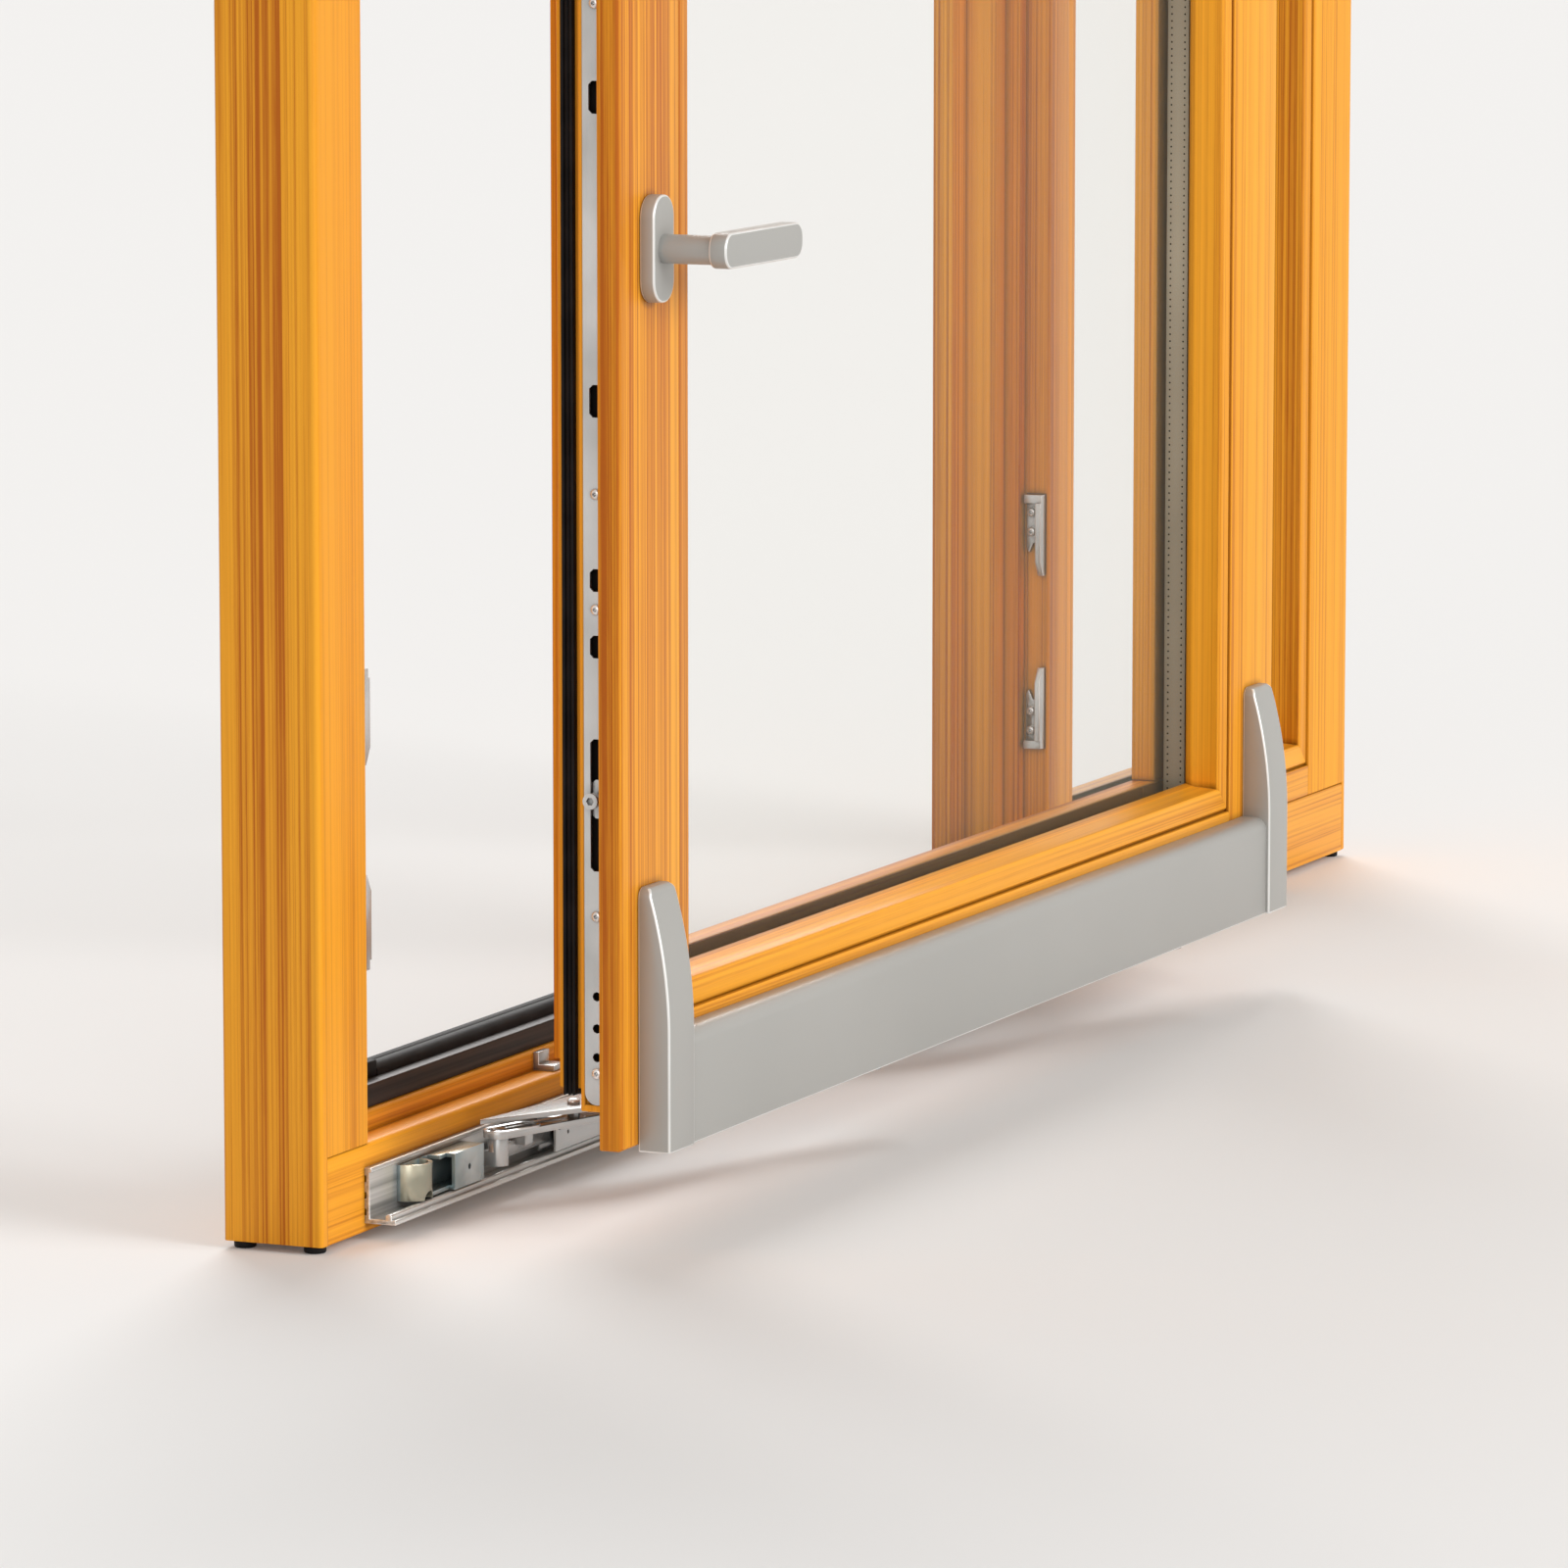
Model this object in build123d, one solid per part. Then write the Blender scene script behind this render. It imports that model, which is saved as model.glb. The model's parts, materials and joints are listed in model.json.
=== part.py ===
from build123d import *
import math
import os

os.makedirs("parts", exist_ok=True)

# Two-bay pine window: a fixed light on the right, and on the left a sash that has been drawn out of
# its bay on swing arms and slides along an aluminium track in front of the frame.
# Working frame, in millimetres: X to the right from the left post's outer face, Y outdoors from the
# frame's room-side face, Z up from the frame's underside. place() moves it to the part's own origin.

# Frame
FRAME_WIDTH = 1852.0
FRAME_HEIGHT = 1200.0
FRAME_DEPTH = 68.0
POST_FACE = 66.0          # room-side width of the left post
SASH_BAY = 1135.0         # left bay between post and mullion, at the room side
MULLION_FACE = 37.0
RIGHT_POST_FACE = 87.0
RAIL_FACE = 55.0          # room-side height of the bottom and head rails
ARRIS = 3.0               # rounding of the wood's long edges
LAP_SETBACK = 8.0         # the rails' front laps stop this far from the posts' outer faces
LAP_DEPTH = 18.0

# Rebate of the left bay, counted from the room side: where each ledge starts and how far it stands in
LEDGE_1 = 19.0
LEDGE_2 = 30.0
LEDGE_3 = 53.0
RISE_1 = 12.5
RISE_2 = 33.0
RISE_3 = 59.0

# Glazing
PANE = 4.0
CAVITY = 16.0
GLASS_FRONT = 26.0        # from a member's room-side face to the inner pane
GLASS_EDGE = 4.0          # air round the edge of the glass
BEAD_FACE = 18.5
BEAD_FOOT = 22.0          # bead width where it meets the glass
BEAD_SET = 1.5            # bead front behind the member's face
BEAD_GROOVE = 3.0         # chamfer that draws the line beside the bead
BEAD_SLOPE = 20.0         # depth at which the bead's foot starts to splay
SPACER_IN = 14.0          # spacer's inner face from the bead seat
SPACER_WIDTH = 7.0
FIXED_SILL = 24.0         # packer under the fixed light, above the bottom rail

# Sash
OVERLAP = 8.0             # how far the closed sash's flange covers the frame's face
SASH_STANDS_OUT = 19.0    # closed sash's face in front of the frame's face
SASH_DRAWN = 143.0        # travel out of the bay, as shown
SASH_SHIFT = 29.5         # sideways travel that the swing arms give with it
SASH_LIFT = 9.6
SASH_DEPTH = 68.0
STILE_FACE = 88.0
SASH_RAIL_FACE = 74.0
FLANGE = 15.4             # flange thickness
STEP_1 = 20.0             # insets of the sash's edge from the flange edge, and the depths they start at
STEP_2 = 32.0
STEP_3 = 47.0
STEP_2_FROM = 37.0
STEP_3_FROM = 57.0
GASKET_FROM = 44.0
GASKET_WIDTH = 9.0
GASKET_BULGE = 4.0

# Locking gear in the stiles' edges
FACEPLATE_WIDTH = 16.5
FACEPLATE_THICKNESS = 2.4
FACEPLATE_FROM = 17.5     # depth of its room-side edge behind the sash's face
FACEPLATE_END = 24.5      # its ends from the sash's ends
CHANNEL_WIDTH = 12.0
CHANNEL_DEPTH = 12.0
CAM_HEIGHT = 215.0        # cams from the sash's ends
GEAR_SLOT = 8.0           # width of the faceplate's slots
GEAR_SLOTS = [(170.4, 252.4), (302.4, 316.4), (343.4, 357.4), (450.4, 470.4)]   # from the sash's ends
GEAR_HOLES = [54.4, 72.4, 92.4]
GEAR_HOLE_RADIUS = 3.0
CAM_SOCKET = 2.6          # hexagon socket in a cam's head
CAM_REACH = 9.5
CAM_RADIUS = 5.0
STRIKER_LENGTH = 60.0
STRIKER_WIDTH = 14.0
STRIKER_BASE = 4.0
STRIKER_REACH = 12.0
STRIKER_SET = 2.5         # striker from the frame's face
STRIKER_FENCE = 4.2       # width of the fence along the striker's room side
STRIKER_POCKET = 1.5      # depth of the milled pocket that a pair sits in
POCKET_PLAY = 0.6
STRIKER_LOW = 162.0       # lower end of the lower striker of a pair
STRIKER_GAP = 68.0        # between the two strikers of a pair

# Cover on the sash's bottom rail and its end caps
COVER_DEPTH = 19.0
COVER_TOP = 124.0
COVER_BOTTOM = 53.0
COVER_WALL = 2.0
COVER_ROUND = 9.0
CAP_INSET = 24.0
CAP_WIDTH = 38.0
CAP_DEPTH = 21.5
CAP_TOP = 218.0
CAP_STRAIGHT = 125.0      # the cap's front is upright up to here
CAP_TIP = 9.0             # the cap's depth below its rounded tip
CAP_ROUND = 7.0           # rounding of its upper corners, seen from the room

# Running track on the bottom rail and guide on the head
TRACK_START = 58.5
TRACK_RIGHT_MARGIN = 212.0   # from the track's end to the frame's right side
TRACK_BOTTOM = 5.5
TRACK_HEIGHT = 35.0
TRACK_WEB = 3.5
TRACK_OUT = 21.5
TRACK_FLANGE = 3.0
TRACK_LIP = 5.0
TRACK_GROOVE = 4.0        # width of the grooves in the web's back
TRACK_GROOVE_DEPTH = 1.2
BEAD_RAIL_AT = 16.5       # running bead's centre in front of the frame
BEAD_RAIL_RADIUS = 2.0
BEAD_RAIL_TOP = 12.0
GUIDE_BELOW_TOP = 2.0     # from the head guide's upper side to the frame's
GUIDE_HEIGHT = 22.0
GUIDE_OUT = 26.0
GUIDE_WALL = 2.5
GUIDE_SLOT = 7.0

# Running gear, carried by the sash
CARRIAGE_START = 290.0
CARRIAGE_LENGTH = 200.0
CARRIAGE_PITCH = 560.0
CARRIAGE_IN = 10.0        # its wall nearest the frame
CARRIAGE_OUT = 23.0
CARRIAGE_BOTTOM = 13.5
CARRIAGE_TOP = 36.0
SHEET = 1.5               # steel sheet of the carriages
STUD_AT = 211.0
STUD_OUT = 19.5           # stud in front of the frame
STUD_RADIUS = 6.5
STUD_BOTTOM = 18.0
WHEEL_RADIUS = 10.0
WHEEL_WIDTH = 7.0
WHEEL_INSET = 28.0        # wheel axles from the carriage's ends
RUNNING_GAP = 0.3
ARM_REACH = 330.0         # along X, from a carriage's stud to the sash's bracket
ARM_PIVOT_FROM = 28.0     # bracket pivot behind the sash's face
LINK_SLOT = 28.0          # slot in the link beside its stud
LINK_SLOT_WIDTH = 6.0
TAIL_SHEET = 3.0
LUG_LENGTH = 12.0
LINK_WIDTH = 19.0
LINK_THICKNESS = 4.0
PLATE_THICKNESS = 3.0
PLATE_LIFT = 5.5          # between link and upper plate
PLATE_LENGTH = 230.0
PLATE_WIDTH = 44.0
PLATE_TIP = 14.0          # the plate's point past the stud, and how far it lies off the arm's line
PLATE_TIP_OFF = 2.0
RIVET_RADIUS = 4.0
PIVOT_RADIUS = 5.0
PIVOT_PLAY = 0.05
BRACKET_LENGTH = 76.0
BRACKET_WIDTH = 17.0
BRACKET_THICKNESS = 4.0
ROD_RADIUS = 4.0
STAY_WIDTH = 16.0
STAY_CLEARANCE = 5.0      # below the head guide

# Control block in the track's closing end
BLOCK_START = 97.0
BLOCK_LENGTH = 92.0
BLOCK_BOTTOM = 13.0
BLOCK_TOP = 36.0
BLOCK_OUT = 20.0
BLOCK_SHEET = 2.5
CUP_RADIUS = 14.0
BOX_LENGTH = 42.0
BOX_HOOD = 10.0           # the box's top plate reaches this far past its mouth
CUP_NOTCH = 3.0

# Weather bar on the outdoor side of the bottom rail
BAR_FRONT = 24.0
BAR_BACK = 61.0
BAR_HEIGHT = 14.5
BAR_WALL = 2.0
SEAL_FRONT = 34.0
SEAL_BACK = 56.0
SEAL_HEIGHT = 8.0
BAR_END_LENGTH = 22.0

# Small fittings
RUN_UP_AT = 346.0
RUN_UP_LENGTH = 16.0
RUN_UP_HEIGHT = 12.0
FOOT_RADIUS = 7.0
FOOT_HEIGHT = 5.0
FOOT_INSET = 10.0
BUFFER_LENGTH = 18.0

# Handle on the left stile
ROSE_WIDTH = 30.0
ROSE_LENGTH = 66.0
ROSE_DEPTH = 10.0
NECK_RADIUS = 9.0
NECK_LENGTH = 34.0
LEVER_LENGTH = 118.0
LEVER_WIDTH = 22.0
LEVER_DEPTH = 12.0

# Derived places
MULLION_LEFT = POST_FACE + SASH_BAY
MULLION_RIGHT = MULLION_LEFT + MULLION_FACE
RIGHT_POST_LEFT = FRAME_WIDTH - RIGHT_POST_FACE
HEAD_EDGE = FRAME_HEIGHT - RAIL_FACE
GLASS_UNIT = 2 * PANE + CAVITY
GLASS_BACK = GLASS_FRONT + GLASS_UNIT
SILL_EDGE = RAIL_FACE + FIXED_SILL
FIXED_HEAD_EDGE = HEAD_EDGE - RISE_3 + BEAD_FOOT
SASH_WIDTH = SASH_BAY + 2 * OVERLAP
SASH_HEIGHT = HEAD_EDGE - RAIL_FACE + 2 * OVERLAP
SASH_LEFT = POST_FACE - OVERLAP + SASH_SHIFT
SASH_RIGHT = SASH_LEFT + SASH_WIDTH
SASH_FRONT = -SASH_STANDS_OUT - SASH_DRAWN
SASH_BACK = SASH_FRONT + SASH_DEPTH
SASH_BOTTOM = RAIL_FACE - OVERLAP + SASH_LIFT
SASH_TOP = SASH_BOTTOM + SASH_HEIGHT
TRACK_END = FRAME_WIDTH - TRACK_RIGHT_MARGIN
GUIDE_BOTTOM = FRAME_HEIGHT - GUIDE_BELOW_TOP - GUIDE_HEIGHT
LINK_BOTTOM = CARRIAGE_TOP
LINK_TOP = LINK_BOTTOM + LINK_THICKNESS
PLATE_BOTTOM = LINK_TOP + PLATE_LIFT
PLATE_TOP = PLATE_BOTTOM + PLATE_THICKNESS
STUD_Y = -STUD_OUT
CARRIAGE_Y = -(CARRIAGE_OUT + CARRIAGE_IN) / 2
TAIL_TOP = CARRIAGE_TOP - 0.4 * (CARRIAGE_TOP - CARRIAGE_BOTTOM)
BRACKET_Y = SASH_FRONT + ARM_PIVOT_FROM
PAST = 1.0                # how far cutting tools reach past a face
CORNER_CUT = 0.29         # share of a slot's width that its corners lose
FEW_SIDES = 8             # sides of small round holes and heads

PARTS = {}


def keep(name, *shapes):
    """Files one node: one solid, or several that do not touch."""
    PARTS[name] = shapes


def block(x, y, z):
    """A box from its low and high ends along each axis."""
    size = Box(x[1] - x[0], y[1] - y[0], z[1] - z[0])
    return Pos((x[0] + x[1]) / 2, (y[0] + y[1]) / 2, (z[0] + z[1]) / 2) * size


def outline(points, rounds=None):
    """A flat face from its corners, some of them rounded: {corner number: radius}."""
    face = make_face(Polyline(*points, close=True))
    for corner, radius in (rounds or {}).items():
        nearest = face.vertices().sort_by_distance(Vector(*points[corner]))[0]
        face = fillet(nearest, radius)
    return face


def along_x(face, start, end):
    """A bar along X from a face drawn in Y and Z."""
    return Pos(start, 0, 0) * extrude(Plane.YZ * face, amount=end - start)


def along_y(face, start, end):
    """A bar along Y from a face drawn in X and Z."""
    return Pos(0, end, 0) * extrude(Plane.XZ * face, amount=end - start)


def along_z(face, start, end):
    """A bar along Z from a face drawn in X and Y."""
    return Pos(0, 0, start) * extrude(face, amount=end - start)


def upright(x, y, radius, start, end):
    """A round pin standing along Z."""
    return Pos(x, y, (start + end) / 2) * Cylinder(radius, end - start)


def short_slot(width, height):
    """A slot with cut corners, for small slots that repeat."""
    return chamfer(Rectangle(width, height).vertices(), CORNER_CUT * min(width, height))


def rebate(edge, side):
    """The left bay's stepped rebate, room side to outdoors, as (place, depth) corners."""
    steps = [(0.0, 0.0, LEDGE_1), (RISE_1, LEDGE_1, LEDGE_2)]
    steps += [(RISE_2, LEDGE_2, LEDGE_3), (RISE_3, LEDGE_3, FRAME_DEPTH)]
    corners = []
    for rise, front, back in steps:
        corners += [(edge + side * rise, front), (edge + side * rise, back)]
    return corners


# Timber frame: posts run through, the rails' front laps cross them at the corners
def corner_laps(left, right):
    """The room-side housings for the bottom and head rails' laps in one post."""
    low = block((left, right), (-PAST, LAP_DEPTH), (-PAST, RAIL_FACE))
    high = block((left, right), (-PAST, LAP_DEPTH), (HEAD_EDGE, FRAME_HEIGHT + PAST))
    return low + high


def striker_pockets(wall, side):
    """Two milled pockets in a rebate wall, each for one pair of strikers."""
    low = STRIKER_LOW - POCKET_PLAY
    high = STRIKER_LOW + 2 * STRIKER_LENGTH + STRIKER_GAP + POCKET_PLAY
    deep = sorted((wall - side * STRIKER_POCKET, wall + side * PAST))
    across = (STRIKER_SET - POCKET_PLAY, STRIKER_SET + STRIKER_WIDTH + POCKET_PLAY)
    lower = block(deep, across, (low, high))
    return lower + block(deep, across, (FRAME_HEIGHT - high, FRAME_HEIGHT - low))


def make_left_post():
    corners = [(0, FRAME_DEPTH), (0, 0)] + rebate(POST_FACE, 1)
    post = along_z(outline(corners, {0: ARRIS, 1: ARRIS, 2: ARRIS}), 0, FRAME_HEIGHT)
    return post - corner_laps(LAP_SETBACK, POST_FACE + PAST) - striker_pockets(POST_FACE, 1)


def make_right_post():
    lip = RIGHT_POST_LEFT - BEAD_FOOT
    corners = [(RIGHT_POST_LEFT, 0), (FRAME_WIDTH, 0), (FRAME_WIDTH, FRAME_DEPTH)]
    corners += [(lip, FRAME_DEPTH), (lip, GLASS_BACK), (RIGHT_POST_LEFT, GLASS_BACK)]
    post = along_z(outline(corners, {1: ARRIS, 2: ARRIS}), 0, FRAME_HEIGHT)
    return post - corner_laps(RIGHT_POST_LEFT - PAST, FRAME_WIDTH - LAP_SETBACK)


def make_bottom_rail(left_post, right_post):
    shelf = RAIL_FACE + RISE_1
    corners = [(0, 0), (0, RAIL_FACE), (LEDGE_1, RAIL_FACE), (LEDGE_1, shelf)]
    corners += [(FRAME_DEPTH, shelf), (FRAME_DEPTH, 0)]
    face = outline(corners, {1: ARRIS, 3: ARRIS})
    return along_x(face, LAP_SETBACK, FRAME_WIDTH - LAP_SETBACK) - left_post - right_post


def make_head_rail(left_post, right_post):
    corners = [(depth, height) for height, depth in rebate(HEAD_EDGE, -1)]
    corners += [(FRAME_DEPTH, FRAME_HEIGHT), (0, FRAME_HEIGHT)]
    face = outline(corners, {0: ARRIS})
    return along_x(face, LAP_SETBACK, FRAME_WIDTH - LAP_SETBACK) - left_post - right_post


def make_mullion(bottom_rail, head_rail):
    lip = MULLION_RIGHT + BEAD_FOOT
    corners = rebate(MULLION_LEFT, -1)
    corners += [(lip, FRAME_DEPTH), (lip, GLASS_BACK), (MULLION_RIGHT, GLASS_BACK), (MULLION_RIGHT, 0)]
    mullion = along_z(outline(corners, {0: ARRIS}), RAIL_FACE, HEAD_EDGE) - bottom_rail - head_rail
    return mullion - striker_pockets(MULLION_LEFT, -1)


def make_packer(rail_edge, seat, lip, neighbours):
    """Fills a rail's rebate under the fixed light, with the glazing lip outdoors."""
    corners = [(0, rail_edge), (0, seat), (GLASS_BACK, seat), (GLASS_BACK, lip)]
    corners += [(FRAME_DEPTH, lip), (FRAME_DEPTH, rail_edge)]
    packer = along_x(outline(corners), MULLION_RIGHT, RIGHT_POST_LEFT)
    for neighbour in neighbours:
        packer = packer - neighbour
    return packer


left_post = make_left_post()
right_post = make_right_post()
bottom_rail = make_bottom_rail(left_post, right_post)
head_rail = make_head_rail(left_post, right_post)
mullion = make_mullion(bottom_rail, head_rail)
keep("left_post", left_post)
keep("right_post", right_post)
keep("bottom_rail", bottom_rail)
keep("head_rail", head_rail)
keep("mullion", mullion)
keep("fixed_sill_packer",
     make_packer(RAIL_FACE, SILL_EDGE, SILL_EDGE + BEAD_FOOT, [bottom_rail, mullion, right_post]))
keep("fixed_head_packer",
     make_packer(HEAD_EDGE, FIXED_HEAD_EDGE, FIXED_HEAD_EDGE - BEAD_FOOT, [head_rail, mullion, right_post]))


# Glazing: four mitred beads, two panes and the spacer between them
def bead_corners():
    """The bead's section: (width from its seat, depth behind the member's face)."""
    corners = [(0, GLASS_FRONT), (0, BEAD_SET + BEAD_GROOVE), (BEAD_GROOVE, BEAD_SET)]
    corners += [(BEAD_FACE, BEAD_SET), (BEAD_FACE + BEAD_SET, BEAD_SLOPE), (BEAD_FOOT, GLASS_FRONT)]
    return corners


def make_beads(x, z, front):
    """Left, right, bottom and top beads round a glazing seat."""
    depth = (front, front + GLASS_FRONT)
    foot = BEAD_FOOT
    rounds = {3: ARRIS}
    section = bead_corners()
    left = outline([(x[0] + u, front + v) for u, v in section], rounds)
    right = outline([(x[1] - u, front + v) for u, v in section], rounds)
    bottom = outline([(front + v, z[0] + u) for u, v in section], rounds)
    top = outline([(front + v, z[1] - u) for u, v in section], rounds)
    inner = [(x[0] + foot, z[0] + foot), (x[1] - foot, z[0] + foot)]
    inner += [(x[1] - foot, z[1] - foot), (x[0] + foot, z[1] - foot)]
    outer = [(x[0], z[0]), (x[1], z[0]), (x[1], z[1]), (x[0], z[1])]
    mitre = {}
    for number, side in enumerate(["bottom", "right", "top", "left"]):
        after = (number + 1) % len(outer)
        corners = [outer[number], outer[after], inner[after], inner[number]]
        mitre[side] = along_y(outline(corners), *depth)
    return {
        "left": along_z(left, *z) & mitre["left"],
        "right": along_z(right, *z) & mitre["right"],
        "bottom": along_x(bottom, *x) & mitre["bottom"],
        "top": along_x(top, *x) & mitre["top"],
    }


def make_panes(x, z, front):
    """Inner and outer pane."""
    wide = (x[0] + GLASS_EDGE, x[1] - GLASS_EDGE)
    high = (z[0] + GLASS_EDGE, z[1] - GLASS_EDGE)
    inner = front + GLASS_FRONT
    outer = front + GLASS_BACK
    return [block(wide, (inner, inner + PANE), high), block(wide, (outer - PANE, outer), high)]


def make_spacer(x, z, front):
    """Rectangular spacer ring between the panes."""
    gap = (front + GLASS_FRONT + PANE, front + GLASS_BACK - PANE)
    edge = SPACER_IN - SPACER_WIDTH
    ring = block((x[0] + edge, x[1] - edge), gap, (z[0] + edge, z[1] - edge))
    inside = SPACER_IN
    through = (gap[0] - PAST, gap[1] + PAST)
    return ring - block((x[0] + inside, x[1] - inside), through, (z[0] + inside, z[1] - inside))


fixed_x = (MULLION_RIGHT, RIGHT_POST_LEFT)
fixed_z = (SILL_EDGE, FIXED_HEAD_EDGE)
for side, bead in make_beads(fixed_x, fixed_z, 0.0).items():
    keep("fixed_bead_" + side, bead)
keep("fixed_panes", *make_panes(fixed_x, fixed_z, 0.0))
keep("fixed_spacer", make_spacer(fixed_x, fixed_z, 0.0))


# Sash: stiles run through, rails stand between them
def make_sash_ring():
    """The whole sash timber, stepped on its outer edge and rebated for the glass."""
    steps = [(STEP_1, FLANGE, STEP_2_FROM), (STEP_2, STEP_2_FROM, STEP_3_FROM)]
    steps += [(STEP_3, STEP_3_FROM, SASH_DEPTH)]
    whole = block((SASH_LEFT, SASH_RIGHT), (SASH_FRONT, SASH_FRONT + FLANGE), (SASH_BOTTOM, SASH_TOP))
    whole = fillet(whole.edges().group_by(Axis.Y)[0], ARRIS)
    for inset, front, back in steps:
        wide = (SASH_LEFT + inset, SASH_RIGHT - inset)
        high = (SASH_BOTTOM + inset, SASH_TOP - inset)
        whole = whole + block(wide, (SASH_FRONT + front, SASH_FRONT + back), high)
    lip = SASH_FRONT + GLASS_BACK
    seat = block(sash_seat_x, (SASH_FRONT - PAST, lip), sash_seat_z)
    sight_x = (sash_seat_x[0] + BEAD_FOOT, sash_seat_x[1] - BEAD_FOOT)
    sight_z = (sash_seat_z[0] + BEAD_FOOT, sash_seat_z[1] - BEAD_FOOT)
    return whole - seat - block(sight_x, (SASH_FRONT, SASH_BACK + PAST), sight_z)


def stile_zone(edge, side):
    """Where a stile's wood lies: its full face, and its glazing lip between the rails' lips."""
    seat = edge + side * STILE_FACE
    sight = seat + side * BEAD_FOOT
    past = edge - side * PAST
    through = (SASH_FRONT - PAST, SASH_BACK + PAST)
    face = block(sorted((past, seat)), through, (SASH_BOTTOM - PAST, SASH_TOP + PAST))
    between = (sash_seat_z[0] + BEAD_FOOT, sash_seat_z[1] - BEAD_FOOT)
    return face + block(sorted((seat, sight)), (SASH_FRONT + GLASS_BACK, SASH_BACK + PAST), between)


def gear_cut(edge, side):
    """Seat for the gear's faceplate in a stile's edge, and the channel behind it."""
    surface = edge + side * STEP_1
    seat = surface + side * FACEPLATE_THICKNESS
    deep = seat + side * CHANNEL_DEPTH
    front = SASH_FRONT + FACEPLATE_FROM
    middle = front + FACEPLATE_WIDTH / 2
    half = CHANNEL_WIDTH / 2
    high = (SASH_BOTTOM + FACEPLATE_END, SASH_TOP - FACEPLATE_END)
    plate = block(sorted((surface - side * PAST, seat)), (front, front + FACEPLATE_WIDTH), high)
    return plate + block(sorted((surface, deep)), (middle - half, middle + half), high)


sash_seat_x = (SASH_LEFT + STILE_FACE, SASH_RIGHT - STILE_FACE)
sash_seat_z = (SASH_BOTTOM + SASH_RAIL_FACE, SASH_TOP - SASH_RAIL_FACE)
sash_ring = make_sash_ring()
left_stile = sash_ring & stile_zone(SASH_LEFT, 1)
right_stile = sash_ring & stile_zone(SASH_RIGHT, -1)
rails = sash_ring - left_stile - right_stile
sash_middle = (SASH_BOTTOM + SASH_TOP) / 2
whole_x = (SASH_LEFT - PAST, SASH_RIGHT + PAST)
whole_y = (SASH_FRONT - PAST, SASH_BACK + PAST)
keep("sash_left_stile", left_stile - gear_cut(SASH_LEFT, 1))
keep("sash_right_stile", right_stile - gear_cut(SASH_RIGHT, -1))
keep("sash_bottom_rail", rails & block(whole_x, whole_y, (SASH_BOTTOM - PAST, sash_middle)))
keep("sash_top_rail", rails & block(whole_x, whole_y, (sash_middle, SASH_TOP + PAST)))
for side, bead in make_beads(sash_seat_x, sash_seat_z, SASH_FRONT).items():
    keep("sash_bead_" + side, bead)
keep("sash_panes", *make_panes(sash_seat_x, sash_seat_z, SASH_FRONT))
keep("sash_spacer", make_spacer(sash_seat_x, sash_seat_z, SASH_FRONT))


def make_sash_gasket():
    """Rubber seal round the sash's middle step."""
    depth = (SASH_FRONT + GASKET_FROM, SASH_FRONT + GASKET_FROM + GASKET_WIDTH)
    crest = STEP_2 - GASKET_BULGE
    wide = (SASH_LEFT + crest, SASH_RIGHT - crest)
    high = (SASH_BOTTOM + crest, SASH_TOP - crest)
    ring = block(wide, depth, high)
    inner_x = (SASH_LEFT + STEP_2, SASH_RIGHT - STEP_2)
    inner_z = (SASH_BOTTOM + STEP_2, SASH_TOP - STEP_2)
    return ring - block(inner_x, (depth[0] - PAST, depth[1] + PAST), inner_z)


keep("sash_gasket", make_sash_gasket())


# Locking gear
def make_faceplate(edge, side):
    """Gear faceplate let flush into a stile's edge, with round ends, slots and holes."""
    surface = edge + side * STEP_1
    middle = SASH_FRONT + FACEPLATE_FROM + FACEPLATE_WIDTH / 2
    length = SASH_HEIGHT - 2 * FACEPLATE_END
    plate = Pos(middle, sash_middle) * RectangleRounded(FACEPLATE_WIDTH, length, 0.49 * FACEPLATE_WIDTH)
    for low, high in GEAR_SLOTS:
        slot = short_slot(GEAR_SLOT, high - low)
        plate = plate - Pos(middle, SASH_BOTTOM + (low + high) / 2) * slot
        plate = plate - Pos(middle, SASH_TOP - (low + high) / 2) * slot
    hole = RegularPolygon(GEAR_HOLE_RADIUS, FEW_SIDES)
    for place in GEAR_HOLES:
        plate = plate - Pos(middle, SASH_BOTTOM + place) * hole
        plate = plate - Pos(middle, SASH_TOP - place) * hole
    return along_x(plate, *sorted((surface, surface + side * FACEPLATE_THICKNESS)))


def make_cam(edge, side, height):
    """Mushroom cam on a slider in the faceplate's slot: a neck, a wider head and a hexagon socket."""
    surface = edge + side * STEP_1
    depth = SASH_FRONT + FACEPLATE_FROM + FACEPLATE_WIDTH / 2
    foot = surface + side * FACEPLATE_THICKNESS
    seat = surface - side * CAM_REACH / 2
    top = surface - side * CAM_REACH
    at = Pos(depth, height)
    quarter = side * CAM_REACH / 4
    neck = along_x(at * RegularPolygon(0.7 * CAM_RADIUS, FEW_SIDES), *sorted((foot, seat)))
    head = along_x(at * RegularPolygon(CAM_RADIUS, 2 * FEW_SIDES), *sorted((seat, top)))
    slider = along_x(at * short_slot(0.9 * GEAR_SLOT, 3 * GEAR_SLOT), *sorted((foot, foot + quarter)))
    socket = along_x(at * RegularPolygon(CAM_SOCKET, 6), *sorted((top - side * PAST, top + quarter)))
    return neck + head + slider - socket


cam_heights = (SASH_BOTTOM + CAM_HEIGHT, SASH_TOP - CAM_HEIGHT)
keep("gear_faceplates", make_faceplate(SASH_LEFT, 1), make_faceplate(SASH_RIGHT, -1))
keep("gear_cams", *[make_cam(edge, side, height) for edge, side in ((SASH_LEFT, 1), (SASH_RIGHT, -1))
                    for height in cam_heights])


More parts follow.
